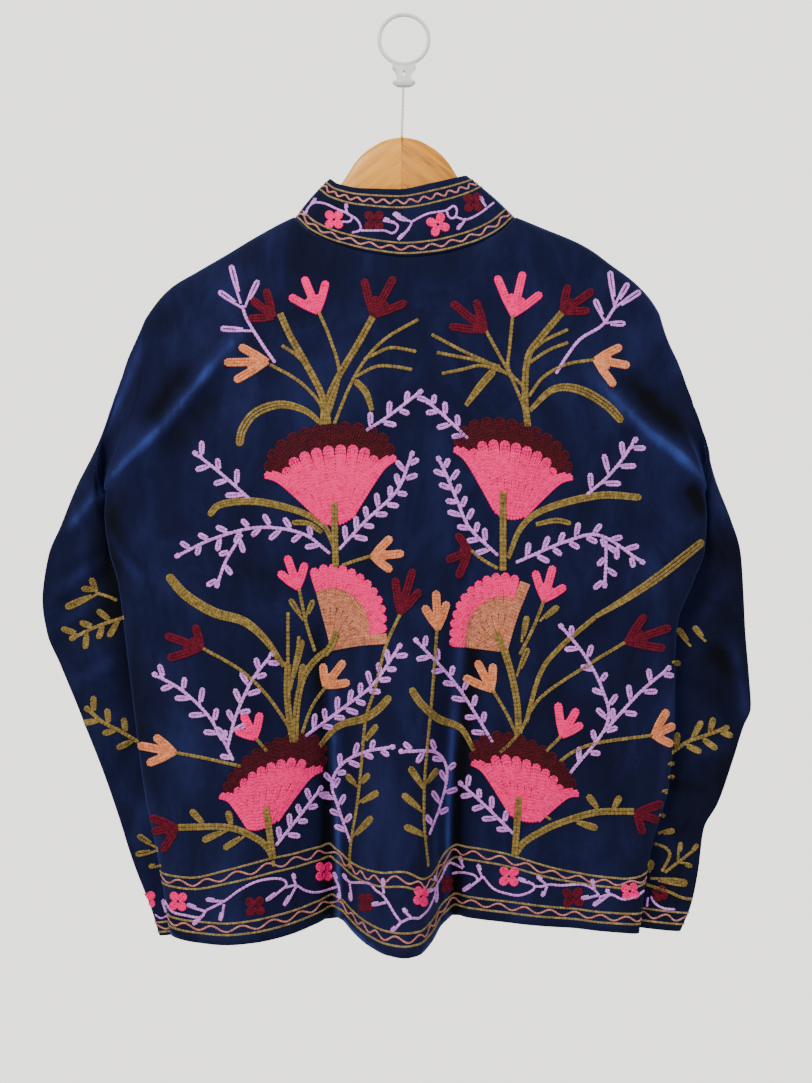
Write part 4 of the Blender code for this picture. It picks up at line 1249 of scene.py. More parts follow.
WOOLS = {
    "olive": wool("wool_olive", "#463819", "#7b6632", "#ac9458", "#bcaa7a"),
    "pink": wool("wool_pink", "#c0005c", "#ff0078", "#ff2c94", "#ff5cac"),
    "maroon": wool("wool_maroon", "#200009", "#3e0010", "#58081c", "#5a1028"),
    "bud_red": wool("wool_bud_red", "#300010", "#58001c", "#7a0a30", "#963048"),
    "lilac": wool("wool_lilac", "#9450b6", "#cc86e2", "#ecb4fa", "#ecc0ff"),
    "peach": wool("wool_peach", "#a4542c", "#d88054", "#f4a880", "#ffc8a0"),
    "tan": wool("wool_tan", "#844c36", "#b87054", "#dc987c", "#eeb49c"),
    "rose": wool("wool_rose", "#7c4442", "#b47068", "#dca098", "#ecb8b0"),
    "gold": wool("wool_gold", "#524424", "#847046", "#b6a276", "#ccc098"),
}
print("wools:", len(WOOLS))

# %% [markdown]
# A link is a net of five points across and five along: it starts narrow, where it comes up through
# the last loop, swells, and ends under the next one. The stitches are gathered in lists and turned
# into meshes at the end.

# %% One link of chain stitch
LINK_ALONG = (-0.04, 0.16, 0.5, 0.84, 1.06)
LINK_WIDTH = (0.6, 0.9, 1.0, 0.93, 0.66)
LINK_HEIGHT = (0.3, 0.86, 1.0, 0.9, 0.35)
LINK_ACROSS = (-1.0, -0.54, 0.0, 0.54, 1.0)
LINK_RISE = (-0.35, 0.95, 0.25, 0.95, -0.35)
LINK_TALL = 0.44
# A line shorter than this share of a link gets no stitch.
LEAST_LINK = 0.45
gathered = {}


def lengths(points):
    """How far along a line each of its points lies."""
    return np.concatenate([[0.0], np.cumsum(np.linalg.norm(np.diff(points, axis=0), axis=1))])


def sew(group, colour, points, normals, width, pitch, lift=0.0):
    """Lays links of chain stitch along a line of points, lift above the cloth, all in metres."""
    points = np.asarray(points, float)
    normals = np.asarray(normals, float)
    gone = lengths(points)
    if gone[-1] < pitch * LEAST_LINK:
        return
    count = max(1, int(round(gone[-1] / pitch)))
    at = np.linspace(0, gone[-1], count + 1)
    p = np.stack([np.interp(at, gone, points[:, k]) for k in range(3)], axis=-1)
    n = np.stack([np.interp(at, gone, normals[:, k]) for k in range(3)], axis=-1)
    n = (n[:-1] + n[1:]) / 2
    n /= np.linalg.norm(n, axis=1, keepdims=True)
    along = p[1:] - p[:-1]
    across = np.cross(n, along)
    long = np.linalg.norm(across, axis=1, keepdims=True)
    keep = long[:, 0] > 1e-6
    across = across[keep] / long[keep] * width / 2
    start = p[:-1][keep] + n[keep] * lift
    gathered.setdefault((group, colour), []).append((start, along[keep], across, n[keep] * width))


def stitch_pieces():
    """Turns all the gathered links into one mesh for each group and colour."""
    total = 0
    wide = len(LINK_ACROSS)
    for (group, colour), rows in sorted(gathered.items()):
        start, along, across, up = (np.concatenate([r[k] for r in rows]) for k in range(4))
        verts = []
        for a, w, h in zip(LINK_ALONG, LINK_WIDTH, LINK_HEIGHT):
            for c, rise in zip(LINK_ACROSS, LINK_RISE):
                verts.append(start + along * a + across * c * w + up * rise * h * LINK_TALL)
        verts = np.stack(verts, axis=1)
        count, each = verts.shape[:2]
        quads = []
        for i in range(len(LINK_ALONG) - 1):
            for k in range(wide - 1):
                a = i * wide + k
                quads.append((a, a + wide, a + wide + 1, a + 1))
        faces = (np.array(quads)[None] + (np.arange(count) * each)[:, None, None]).reshape(-1, 4)
        name = f"stitches_{group}_{colour}"
        piece = new_piece(name, verts.reshape(-1, 3).tolist(), faces.tolist(), WOOLS[colour])
        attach(piece, "root")
        total += 2 * len(faces)
        print(name, "links:", count)
    print("stitch triangles:", total)


# %% [markdown]
# The design is charted in squares of 0.9 mm, each as large as one pixel of the photograph, and the
# root, bends and tip of every shape were read off it. The chart lies flat in the plane of the
# ring: column 406 and row 541 are straight ahead of the eye. A line of the chart goes to the cloth
# along the viewer's sight, so it follows every fold. Where the cloth ends or folds behind itself,
# the thread stops. A flat pattern wrapped round each panel would do too, but it would drift at folds.

# %% From the chart to the cloth
SQUARE_MM = 0.9
SQUARE = SQUARE_MM * MM
CHART_MID = (406, 541)
# A step of more than this many millimetres from point to point parts a line in two.
JUMP = 9.0


def all_cloth(pieces):
    """One search tree over the faces of the given pieces."""
    verts = []
    faces = []
    for piece in pieces:
        start = len(verts)
        verts.extend(v.co.copy() for v in piece.data.vertices)
        faces.extend([start + i for i in p.vertices] for p in piece.data.polygons)
    return BVHTree.FromPolygons(verts, faces)


cloth_tree = all_cloth(velvet_pieces)


def soften(values):
    """Takes the corners off a line of directions."""
    if len(values) < 3:
        return values
    out = values.copy()
    out[1:-1] = (values[:-2] + 2 * values[1:-1] + values[2:]) / 4
    return out


def to_cloth(path):
    """A chart line on the cloth: a list of runs, each with its points and normals."""
    runs = []
    points = []
    normals = []
    last = None
    for a, b in path:
        aim = Vector(((a - CHART_MID[0]) * SQUARE + EYE.x, 0.0, (CHART_MID[1] - b) * SQUARE + EYE.z))
        way = (aim - EYE).normalized()
        hit, normal = cloth_tree.ray_cast(EYE, way)[:2]
        broken = hit is None or (last is not None and (hit - last).length > JUMP * MM)
        if broken and points:
            runs.append((points, normals))
            points = []
            normals = []
        last = hit
        if hit is None:
            continue
        if normal.dot(way) > 0:
            normal = -normal
        points.append(tuple(hit))
        normals.append(tuple(normal))
    if points:
        runs.append((points, normals))
    return [(np.array(p), soften(soften(np.array(n)))) for p, n in runs if len(p) > 1]


def curve(points, step=0.8):
    """A smooth line through chart points, with a point every step squares."""
    p = np.asarray(points, float)
    if len(p) < 3:
        count = max(2, int(np.linalg.norm(p[-1] - p[0]) / step) + 1)
        t = np.linspace(0, 1, count)[:, None]
        return p[0] * (1 - t) + p[-1] * t
    ends = np.concatenate([[2 * p[0] - p[1]], p, [2 * p[-1] - p[-2]]])
    out = []
    for i in range(1, len(ends) - 2):
        p0, p1, p2, p3 = ends[i - 1 : i + 3]
        count = max(2, int(np.linalg.norm(p2 - p1) / step) + 1)
        t = np.linspace(0, 1, count, endpoint=False)[:, None]
        out.append(
            0.5
            * (
                2 * p1
                + (p2 - p0) * t
                + (2 * p0 - 5 * p1 + 4 * p2 - p3) * t**2
                + (3 * p1 - p0 - 3 * p2 + p3) * t**3
            )
        )
    return np.concatenate(out + [p[-1:]])


def beside(path, offset):
    """A line moved sideways by some squares, the same or one for each point."""
    way = np.gradient(path, axis=0)
    way /= np.maximum(np.linalg.norm(way, axis=1, keepdims=True), 1e-9)
    side = np.stack([way[:, 1], -way[:, 0]], axis=1)
    return path + side * np.broadcast_to(offset, len(path))[:, None]


def row(group, colour, path, width=2.7, pitch=3.3, lift=0.0):
    """One row of chain stitch along a chart line; width, pitch and lift are millimetres."""
    for points, normals in to_cloth(path):
        sew(group, colour, points, normals, width * MM, pitch * MM, lift * MM)


# %% [markdown]
# A few shapes make up the whole design. A stem is one or two rows. A leaf and a petal are filled
# shapes: one row goes up a side, round the tip and back down the other side, and more rows lie
# between. A sprig is a stem with narrow leaflets, and a bud is three petals on one foot. A fan
# flower is petals that spread from its foot, seen from the front or from the side. A small flower is
# four petals about a middle. Functions draw them, so each flower is one short line of a table.

# %% Stems and filled shapes
# A row's width in millimetres, its breadth in squares and how many squares apart filling rows lie.
ROW = 2.8
ROW_BREADTH = 3.1
SPACING = 2.8
# How far apart a stem's rows lie, as a share of their width.
STEM_STEP = 0.86
# Filling rows lie where half the breadth inside the outline is more than this, by turns, so that
# every second one starts later. They end this far from the tip, and farther away near the sides.
ROOM_FOR_ROW = (1.5, 2.5)
TIP_ROOM = 1.3
TIP_BOW = 0.8
FILL_PITCH = 3.1
# A leaf's breadth at its root, in squares.
LEAF_ROOT = 5.0
# A sprig's leaflets: where on the stem the first stands, and what share of it they take up.
FIRST_LEAFLET = 0.08
LEAFLET_RUN = 0.84
# Their turn from the stem in degrees, and how much it varies.
LEAFLET_TURN = 50
TURN_UNEVEN = 9
# Their length for each square of the stated one, how much of it is lost at the stem's tip, and how
# much it varies.
LEAFLET_LONG = 1.22
LEAFLET_TAPER = 0.12
LONG_UNEVEN = 0.14
# Their breadth at the root, in squares.
LEAFLET_ROOT = 3.2


def stem(group, colour, points, rows=1, width=3.6, lift=0.0):
    """A line of one or more rows side by side."""
    path = curve(points)
    apart = width * STEM_STEP / SQUARE_MM
    for k in range(rows):
        row(group, colour, beside(path, (k - (rows - 1) / 2) * apart), width, 3.4, lift)


def filled(group, colour, path, breadth, lift=0.0, pitch=2.7):
    """Fills a shape about a centre line that runs from its root to its round tip."""
    gone = lengths(path)
    left = gone[-1] - gone
    half = np.maximum((breadth - ROW_BREADTH) / 2, 0.1)
    bow = np.clip(left / max(half[-1], 0.5), 0, 1)
    outline = half * np.sqrt(1 - (1 - bow) ** 2)
    apart = (outline > 0.9) | (gone > gone[-1] / 2)
    back = beside(path, -outline)[apart][::-1]
    row(group, colour, np.concatenate([beside(path, outline), back]), ROW, pitch, lift)
    between = max(0, int(round(2 * half.max() / SPACING + 0.2)) - 1)
    for k in range(between):
        share = 2 * (k + 1) / (between + 1) - 1
        inside = (half > ROOM_FOR_ROW[k % 2]) & (left > TIP_ROOM + half[-1] * share * share * TIP_BOW)
        line = beside(path, share * half)[inside]
        if len(line) > 2:
            row(group, colour, line, ROW, FILL_PITCH, lift)


def leaf(group, colour, points, broad):
    """A long leaf, charted from its tip to its root."""
    path = curve(points)[::-1]
    t = np.linspace(0, 1, len(path))
    swell = np.sin(math.pi * np.clip(t * 0.72, 0, 1))
    filled(group, colour, path, LEAF_ROOT + (broad - LEAF_ROOT) * swell)


def lobe(group, colour, root, tip, narrow, broad, lift=0.0, pitch=2.4, swell=1.6):
    """A petal or a leaflet from a narrow root to a round tip."""
    path = curve([root, tip], 0.6)
    t = np.linspace(0, 1, len(path))
    breadth = narrow + (broad - narrow) * np.clip(t * swell, 0, 1)
    filled(group, colour, path, breadth, lift, pitch)


def sprig(group, colour, points, pairs, reach=14.0, broad=6.3, width=3.4):
    """A stem with leaflets on both sides in turn, and one at its tip."""
    path = curve(points)
    gone = lengths(path)
    stem(group, colour, points, 1, width)
    for k in range(pairs * 2):
        share = FIRST_LEAFLET + LEAFLET_RUN * k / max(1, pairs * 2 - 1)
        i = int(np.searchsorted(gone, share * gone[-1]))
        i = min(max(i, 1), len(path) - 2)
        way = path[i + 1] - path[i - 1]
        way /= max(np.hypot(*way), 1e-9)
        turn = math.radians(LEAFLET_TURN + TURN_UNEVEN * math.sin(2.3 * k + path[0][0]))
        turn = turn if k % 2 else -turn
        c = math.cos(turn)
        s = math.sin(turn)
        out = np.array([way[0] * c - way[1] * s, way[0] * s + way[1] * c])
        long = LEAFLET_LONG * reach * (1 - LEAFLET_TAPER * share)
        long = long * (1 + LONG_UNEVEN * math.sin(5.1 * k + path[0][1]))
        lobe(group, colour, path[i], path[i] + out * long, LEAFLET_ROOT, broad, swell=2.2)
    way = path[-1] - path[-3]
    way /= max(np.hypot(*way), 1e-9)
    lobe(group, colour, path[-3], path[-1] + way * reach * 0.45, LEAFLET_ROOT, broad)


def bud(group, colour, base, tips, broad=8.6):
    """A bud of three petals that stand on one foot and join halfway up."""
    base = np.asarray(base, float)
    tips = np.asarray(tips, float)
    for a, b in zip(tips[:-1], tips[1:]):
        lobe(group, colour, base, base + ((a + b) / 2 - base) * 0.52, 5.0, broad)
    for tip in tips:
        lobe(group, colour, base, tip, 5.4, broad, lift=0.4, swell=2.4)


# %% Fan flowers
LOBES_OUT = 12
LOBES_IN = 9
ARC_POINTS = 90
# Half the breadth of the cup's foot and of the lips' feet, in squares.
CUP_FOOT = 12.0
LIP_FOOT = 15.0
# Where along a lip each of its rows ends, and how many squares apart they lie.
LIP_ENDS = (0.98, 1.0, 1.0, 0.94)
LIP_STEP = 2.5
# Side flowers: how many rays, and how many squares of the edge each petal takes.
RAYS = 8
PETAL_STEP = 9.8


def steps_between(points):
    """How far apart each point and its neighbours stand."""
    step = np.linalg.norm(np.diff(points, axis=0), axis=1)
    return (np.concatenate([step[:1], step]) + np.concatenate([step, step[-1:]])) / 2


def even_turns(first, last, count, place):
    """Turns that put lobes at equal steps along an arc; place gives the arc's points."""
    turns = np.linspace(first, last, ARC_POINTS)[:, None] * math.pi
    gone = lengths(place(turns))
    return np.interp(np.linspace(0, gone[-1], count), gone, turns[:, 0])[:, None]


def fan(group, outer, inner, lip_a, lip_b, foot, top):
    """A flower with a dark fan behind a bright cup whose two lips curl out."""
    lip_a, lip_b, foot, top = (np.asarray(p, float) for p in (lip_a, lip_b, foot, top))
    mid = (lip_a + lip_b) / 2
    half = (lip_b - lip_a) / 2
    rise = top - mid
    long = np.hypot(*half)

    def outer_arc(phi):
        return mid - half * 0.97 * np.cos(phi) + rise * np.sin(phi) ** 0.75

    def inner_arc(phi):
        return mid - half * 0.68 * np.cos(phi) + rise * 0.48 * np.sin(phi) ** 0.8

    phi = even_turns(0.045, 0.945, LOBES_OUT, outer_arc)
    arch = np.sin(phi) ** 0.75
    tips = outer_arc(phi)
    roots = mid - half * 0.6 * np.cos(phi) + rise * 0.26 * arch
    for root, tip, apart in zip(roots, tips, steps_between(tips)):
        lobe(group, outer, root, tip, apart * 0.8, apart * 1.02, swell=1.0)
    across = half / long
    share = np.linspace(-1.0, 1.0, LOBES_IN)[:, None]
    tips = inner_arc(even_turns(0.05, 0.95, LOBES_IN, inner_arc))
    roots = foot + across * CUP_FOOT * share - (foot - mid) * 0.06 * share * share
    for root, tip, apart in zip(roots, tips, steps_between(tips)):
        lobe(group, inner, root, tip, 4.6, apart * 0.97, lift=0.5, pitch=2.8, swell=1.0)
    for lip, way in ((lip_a, -1), (lip_b, 1)):
        start = foot + across * LIP_FOOT * way - (foot - mid) * 0.1
        run = lip - start
        inward = np.array([run[1], -run[0]]) / np.hypot(*run)
        inward = inward if np.dot(inward, mid - start) > 0 else -inward
        line = curve([start, start + run * 0.5 + inward * 4.0, start + run * 0.8 + inward * 5.0, lip], 0.7)
        for k, end in enumerate(LIP_ENDS):
            stop = int(len(line) * end)
            begin = int(len(line) * 0.05 * k)
            row(group, inner, (line + inward * LIP_STEP * k)[begin:stop], ROW + 0.2, 3.0, 0.5)


def side_fan(group, outer, inner, foot, edge, lip):
    """A flower seen from the side: rays to a rounded edge, a bright band of petals beyond."""
    foot = np.asarray(foot, float)
    lip = np.asarray(lip, float)
    line = curve(edge, 1.0)
    gone = lengths(line)

    def rim(share):
        at = gone[-1] * share
        return np.array([np.interp(at, gone, line[:, 0]), np.interp(at, gone, line[:, 1])])

    for k in range(RAYS):
        tip = foot + (rim((k + 0.5) / RAYS) - foot) * 0.78
        lobe(group, inner, foot, tip, 3.4, gone[-1] / RAYS * 0.75, pitch=2.8, swell=1.0)
    petals = int(round(gone[-1] / PETAL_STEP))
    for k in range(petals):
        tip = rim((k + 0.5) / petals)
        lobe(group, outer, foot + (tip - foot) * 0.7, tip, 7.0, 9.7, lift=0.5)
    run = lip - foot
    up = np.array([run[1], -run[0]]) / np.hypot(*run)
    up = up if np.dot(up, rim(0.5) - foot) > 0 else -up
    path = curve([foot - up * 6.0, foot + run * 0.5 - up * 2.5, lip - up * 2.0], 0.7)
    for k in range(len(LIP_ENDS)):
        row(group, inner, path + up * LIP_STEP * k, ROW + 0.2, 3.0, 0.5)


# %% Small flowers
def small_flower(group, colour, a, b, size=10.0, turn=45.0, squeeze=1.0):
    """Four round petals about a middle; squeeze narrows it where the cloth turns away."""
    for k in range(4):
        angle = math.radians(turn + 90.0 * k)
        way = np.array([math.cos(angle) * squeeze, math.sin(angle)])
        middle = np.array([a, b], float)
        lobe(group, colour, middle + way, middle + way * size, 4.4, 9.6, pitch=2.0, swell=2.2)


# %% [markdown]
# Two flowering trees grow up the back from the hem band, nearly mirror images of each other. The
# chart lists them shape by shape, in squares: first the stems and leaves in olive, then the lilac
# sprigs, the buds, and the big fan flowers that sit on top of their stems.

# %% The chart of the trees: stems
STEMS = (
    # rows, then the points from root to tip, across and down
    (1, (325, 424), (334, 398), (339, 370), (330, 338), (319, 312)),
    (2, (328, 424), (327, 403), (339, 375), (357, 345), (373, 316)),
    (2, (323, 424), (323, 398), (307, 365), (291, 337), (280, 313)),
    (1, (310, 371), (298, 356), (282, 345)),
    (1, (323, 412), (318, 400), (298, 380), (270, 364)),
    (1, (334, 424), (351, 383), (367, 357), (387, 337), (418, 319)),
    (1, (364, 359), (376, 353), (392, 347), (416, 351)),
    (1, (356, 376), (376, 366), (394, 366), (412, 369)),
    (1, (342, 565), (356, 560), (373, 555)),
    (1, (315, 651), (306, 622), (299, 588)),
    (2, (330, 648), (315, 660), (303, 678), (297, 705), (295, 740)),
    (1, (350, 868), (351, 844), (358, 800), (362, 760), (366, 718), (375, 688), (386, 645), (400, 614)),
    (1, (296, 742), (286, 722), (266, 694), (241, 670), (203, 648)),
    (2, (293, 742), (289, 715), (287, 690), (288, 664)),
    (1, (288, 664), (288, 640), (288, 612)),
    (1, (290, 690), (296, 660), (299, 636)),
    (1, (241, 766), (206, 758), (174, 752)),
    (1, (302, 733), (312, 706), (326, 686)),
    (1, (267, 751), (256, 738)),
    (1, (288, 664), (278, 660), (270, 646)),
    (2, (273, 858), (268, 848), (256, 838), (228, 827), (178, 827)),
    (1, (528, 426), (525, 390), (509, 370), (510, 344), (513, 314)),
    (1, (526, 412), (512, 378), (498, 352), (486, 330)),
    (2, (528, 426), (525, 395), (528, 357), (541, 337), (562, 312)),
    (1, (528, 354), (545, 340), (568, 329)),
    (1, (530, 362), (548, 350), (568, 342)),
    (1, (512, 376), (490, 363), (462, 350), (432, 334)),
    (1, (500, 366), (478, 360), (458, 356), (437, 352)),
    (1, (506, 372), (482, 365), (462, 369), (442, 373)),
    (1, (529, 396), (543, 377), (566, 364), (594, 359)),
    (1, (498, 568), (484, 560), (471, 550)),
    (2, (505, 650), (512, 676), (517, 702), (519, 733)),
    (1, (520, 654), (534, 626), (544, 600)),
    (1, (428, 866), (424, 826), (424, 786), (427, 746), (432, 694), (437, 628)),
    (1, (520, 732), (540, 698), (584, 667), (625, 642)),
    (1, (560, 761), (576, 750), (600, 742), (652, 735)),
    (1, (517, 735), (506, 712), (493, 690)),
    (1, (546, 751), (561, 736)),
    (2, (515, 854), (524, 842), (540, 832), (559, 823), (596, 812), (634, 811)),
    (1, (519, 733), (508, 745), (500, 752)),
    (1, (273, 860), (274, 866)),
)
LEAVES = (
    # breadth, then the points from tip to root
    (9.5, (239, 445), (243, 428), (256, 412), (280, 404), (305, 410), (322, 424)),
    (7.5, (355, 380), (366, 392), (372, 410)),
    (8.0, (209, 515), (221, 504), (256, 501), (299, 511), (324, 526), (334, 546)),
    (6.0, (292, 522), (308, 523), (322, 532)),
    (10.5, (168, 575), (186, 595), (214, 612), (244, 621), (266, 640), (284, 666)),
    (8.5, (390, 696), (378, 709), (364, 718), (338, 726), (319, 746)),
    (9.5, (622, 421), (606, 404), (579, 389), (553, 389), (530, 410)),
    (8.5, (494, 370), (480, 386), (466, 405)),
    (8.0, (641, 497), (599, 495), (547, 508), (522, 526), (508, 558)),
    (6.0, (571, 523), (556, 520), (536, 524)),
    (9.5, (703, 541), (663, 573), (628, 597), (596, 616)),
    (5.5, (596, 616), (559, 648), (540, 674), (526, 722)),
    (8.5, (411, 688), (421, 703), (438, 718), (461, 728), (474, 750)),
)
LEAFLETS = (
    # breadth, root across and down, tip across and down
    (6.5, 304, 620, 290, 599),
    (6.5, 306, 618, 313, 600),
    (7.5, 290, 688, 302, 640),
    (7.0, 299, 690, 303, 664),
    (7.0, 362, 744, 377, 725),
    (7.0, 358, 786, 347, 775),
    (7.0, 359, 785, 369, 774),
    (7.5, 357, 804, 378, 792),
    (7.5, 352, 838, 372, 817),
    (7.5, 206, 826, 191, 810),
    (7.5, 232, 828, 228, 811),
    (7.5, 228, 829, 203, 840),
    (7.0, 246, 834, 224, 848),
    (7.0, 540, 621, 558, 606),
    (7.0, 522, 642, 527, 616),
    (7.5, 425, 790, 410, 767),
    (7.5, 424, 812, 403, 794),
    (7.5, 427, 836, 405, 826),
    (7.0, 424, 786, 437, 769),
    (7.5, 572, 820, 597, 828),
    (7.5, 600, 811, 588, 795),
    (7.5, 612, 811, 620, 796),
    (6.5, 517, 676, 528, 648),
    (6.0, 551, 819, 534, 806),
)
print("stems:", len(STEMS), "leaves:", len(LEAVES), "leaflets:", len(LEAFLETS))

# %% The chart of the trees: sprigs, buds and flowers
SPRIGS = (
    # pairs of leaflets, their length, then the points from root to tip
    (3, 12, (366, 430), (388, 416), (418, 393)),
    (3, 14, (249, 498), (222, 474), (198, 455)),
    (7, 12, (330, 553), (302, 533), (258, 527), (214, 538), (180, 554)),
    (2, 12, (242, 534), (226, 560), (218, 582)),
    (7, 12, (339, 549), (366, 520), (397, 490), (411, 456)),
    (4, 14, (222, 740), (208, 715), (182, 690), (158, 676)),
    (1, 10, (233, 760), (226, 745), (222, 738)),
    (5, 13, (227, 749), (236, 715), (252, 680), (270, 656)),
    (8, 12, (305, 736), (345, 706), (373, 684), (398, 648)),
    (4, 11, (276, 845), (300, 815), (319, 790)),
    (7, 11, (351, 842), (338, 806), (332, 782), (344, 762), (367, 751), (390, 747)),
    (3, 16, (587, 494), (607, 477), (623, 458), (633, 443)),
    (3, 12, (468, 438), (448, 419), (430, 403)),
    (7, 12, (498, 555), (470, 528), (458, 502), (448, 478), (440, 461)),
    (7, 12, (516, 562), (566, 541), (600, 535), (640, 560)),
    (2, 12, (606, 540), (606, 562), (605, 582)),
    (6, 12, (570, 773), (607, 724), (602, 688), (584, 654), (563, 628)),
    (3, 13, (608, 727), (640, 692), (666, 670)),
    (6, 12, (493, 742), (456, 684), (418, 642)),
    (4, 12, (514, 834), (486, 806), (463, 785)),
    (5, 11, (429, 834), (440, 804), (447, 772), (436, 752), (404, 751)),
)
TOP_SPRIGS = (
    ((275, 362), (261, 342), (247, 319), (242, 305)),
    ((556, 373), (568, 354), (581, 338), (602, 325), (614, 308)),
)
TOP_LEAFLETS = (
    # root across and down, tip across and down
    (241, 303, 231, 265),
    (242, 307, 219, 291),
    (245, 307, 258, 280),
    (252, 330, 221, 328),
    (605, 321, 595, 299),
    (604, 323, 625, 323),
    (615, 307, 610, 271),
    (615, 305, 628, 283),
    (613, 309, 640, 291),
)
BUDS = (
    # wool, foot, then the three tips
    ("pink", (318, 312), (290, 296), (304, 277), (326, 281)),
    ("bud_red", (373, 316), (364, 279), (394, 277), (406, 302)),
    ("bud_red", (274, 317), (252, 299), (266, 289), (249, 318)),
    ("peach", (268, 361), (240, 346), (225, 362), (235, 380)),
    ("peach", (372, 556), (391, 537), (403, 553), (391, 570)),
    ("pink", (298, 588), (279, 572), (287, 556), (305, 563)),
    ("bud_red", (400, 614), (395, 578), (413, 569), (420, 590)),
    ("bud_red", (202, 648), (195, 625), (166, 635), (168, 658)),
    ("peach", (175, 752), (155, 736), (139, 745), (148, 763)),
    ("peach", (325, 686), (323, 664), (344, 661), (349, 682)),
    ("pink", (255, 738), (236, 730), (243, 714), (260, 713)),
    ("bud_red", (177, 827), (151, 817), (153, 831), (163, 850)),
    ("pink", (513, 315), (497, 276), (523, 272), (541, 293)),
    ("bud_red", (486, 331), (452, 302), (476, 300), (450, 326)),
    ("bud_red", (562, 312), (568, 285), (593, 290), (589, 310)),
    ("peach", (595, 359), (621, 346), (629, 365), (614, 385)),
    ("bud_red", (470, 550), (457, 534), (447, 560), (458, 577)),
    ("pink", (544, 600), (535, 571), (553, 566), (565, 586)),
    ("peach", (438, 629), (424, 606), (436, 591), (447, 602)),
    ("bud_red", (626, 642), (645, 615), (670, 627), (664, 648)),
    ("peach", (653, 735), (667, 710), (674, 725), (672, 744)),
    ("peach", (492, 690), (477, 661), (493, 664), (464, 677)),
    ("pink", (562, 736), (558, 703), (577, 709), (582, 724)),
    ("bud_red", (636, 812), (662, 803), (658, 820), (643, 833)),
)
FANS = (
    # fan wool, cup wool, left lip, right lip, foot, top of the fan
    ("maroon", "pink", (263, 476), (398, 458), (338, 525), (326, 423)),
    ("maroon", "pink", (452, 449), (574, 478), (509, 519), (516, 420)),
    ("maroon", "pink", (218, 797), (324, 769), (262, 829), (286, 736)),
    ("maroon", "pink", (470, 763), (580, 795), (524, 821), (518, 735)),
)
EDGE_LEFT = ((309, 570), (330, 564), (352, 569), (372, 584), (384, 606), (386, 632))
EDGE_RIGHT = ((450, 646), (452, 620), (462, 596), (483, 578), (503, 573), (520, 577))
SIDE_FANS = (
    # band wool, fan wool, foot, points of the edge, lip
    ("pink", "tan", (331, 643), EDGE_LEFT, (387, 640)),
    ("pink", "tan", (500, 650), EDGE_RIGHT, (527, 583)),
)
CALYXES = (
    # rows, then the points
    (2, (335, 502), (335, 530), (336, 566)),
    (2, (503, 491), (503, 530), (503, 570)),
    (2, (266, 806), (269, 830), (273, 858)),
    (2, (519, 796), (517, 825), (515, 854)),
    (2, (337, 631), (331, 645), (325, 654)),
    (2, (496, 632), (504, 650), (508, 662)),
)

for rows, *points in STEMS:
    stem("back", "olive", points, rows)
for broad, *points in LEAVES:
    leaf("back", "olive", points, broad)
for broad, a0, b0, a1, b1 in LEAFLETS:
    lobe("back", "olive", (a0, b0), (a1, b1), 3.6, broad)
for pairs, reach, *points in SPRIGS:
    sprig("back", "lilac", points, pairs, reach)
for points in TOP_SPRIGS:
    stem("back", "lilac", points, 1, 3.4)
for a0, b0, a1, b1 in TOP_LEAFLETS:
    lobe("back", "lilac", (a0, b0), (a1, b1), 3.4, 6.6)
for colour, base, *tips in BUDS:
    bud("back", colour, base, tips)
for flower in FANS:
    fan("back", *flower)
for flower in SIDE_FANS:
    side_fan("back", *flower)
# The stems that lie over a flower are lifted clear of its stitches, by this many millimetres.
OVER_FLOWER = 1.5
for rows, *points in CALYXES:
    stem("top", "olive", points, rows, 3.4, lift=OVER_FLOWER)
print("charted the trees")

# %% [markdown]
# The sleeves carry loose sprigs and leaves in the same olive wool, and a small flower at each cuff.
# They are charted where they show, as on the back, so they meet its folds in the same way. The far
# sides have only the cuffs' bands.

# %% The chart of the sleeves
SLEEVE_SPRIGS = (
    # pairs, length of leaflets, then the points
    (3, 15, (124, 617), (97, 626), (76, 636)),
    (3, 15, (139, 742), (119, 730), (103, 722), (90, 711)),
    (3, 16, (672, 752), (688, 741), (703, 736), (722, 729)),
)
SLEEVE_LEAVES = (
    # breadth, root across and down, tip across and down
    (8.0, 100, 592, 66, 607),
    (7.0, 98, 594, 91, 578),
    (7.0, 98, 590, 82, 588),
    (6.5, 158, 848, 138, 835),
    (6.5, 158, 850, 136, 854),
    (5.5, 161, 865, 149, 866),
    (7.0, 691, 646, 678, 628),
    (7.0, 706, 641, 694, 626),
    (7.0, 672, 662, 680, 663),
    (7.0, 658, 833, 674, 830),
    (8.5, 650, 878, 687, 883),
    (8.0, 650, 872, 651, 860),
    (5.5, 678, 860, 681, 842),
    (5.5, 680, 862, 692, 866),
    (5.5, 692, 850, 698, 844),
    (6.0, 668, 764, 674, 763),
    (6.0, 668, 777, 674, 776),
    (5.5, 662, 791, 668, 791),
    (5.5, 659, 815, 665, 815),
)
for pairs, reach, *points in SLEEVE_SPRIGS:
    sprig("sleeves", "olive", points, pairs, reach, 7.0, width=4.2)
for broad, a0, b0, a1, b1 in SLEEVE_LEAVES:
    lobe("sleeves", "olive", (a0, b0), (a1, b1), 3.0, broad)
SLEEVE_STEMS = (
    # colour, width, then the points
    ("olive", 3.6, (117, 600), (108, 596), (98, 593)),
    ("olive", 3.4, (646, 884), (668, 891), (681, 897), (692, 899)),
    ("olive", 3.4, (654, 843), (665, 847), (670, 855), (662, 871)),
    ("olive", 3.4, (665, 872), (678, 862), (687, 855), (696, 848)),
    ("lilac", 2.4, (648, 897), (647, 906)),
    ("lilac", 2.4, (651, 896), (655, 903), (664, 908), (675, 909)),
    ("lilac", 2.0, (155, 914), (161, 918), (169, 914)),
)
for colour, width, *points in SLEEVE_STEMS:
    stem("sleeves", colour, points, 1, width)
small_flower("sleeves", "bud_red", 660, 893, 7.6, 30)
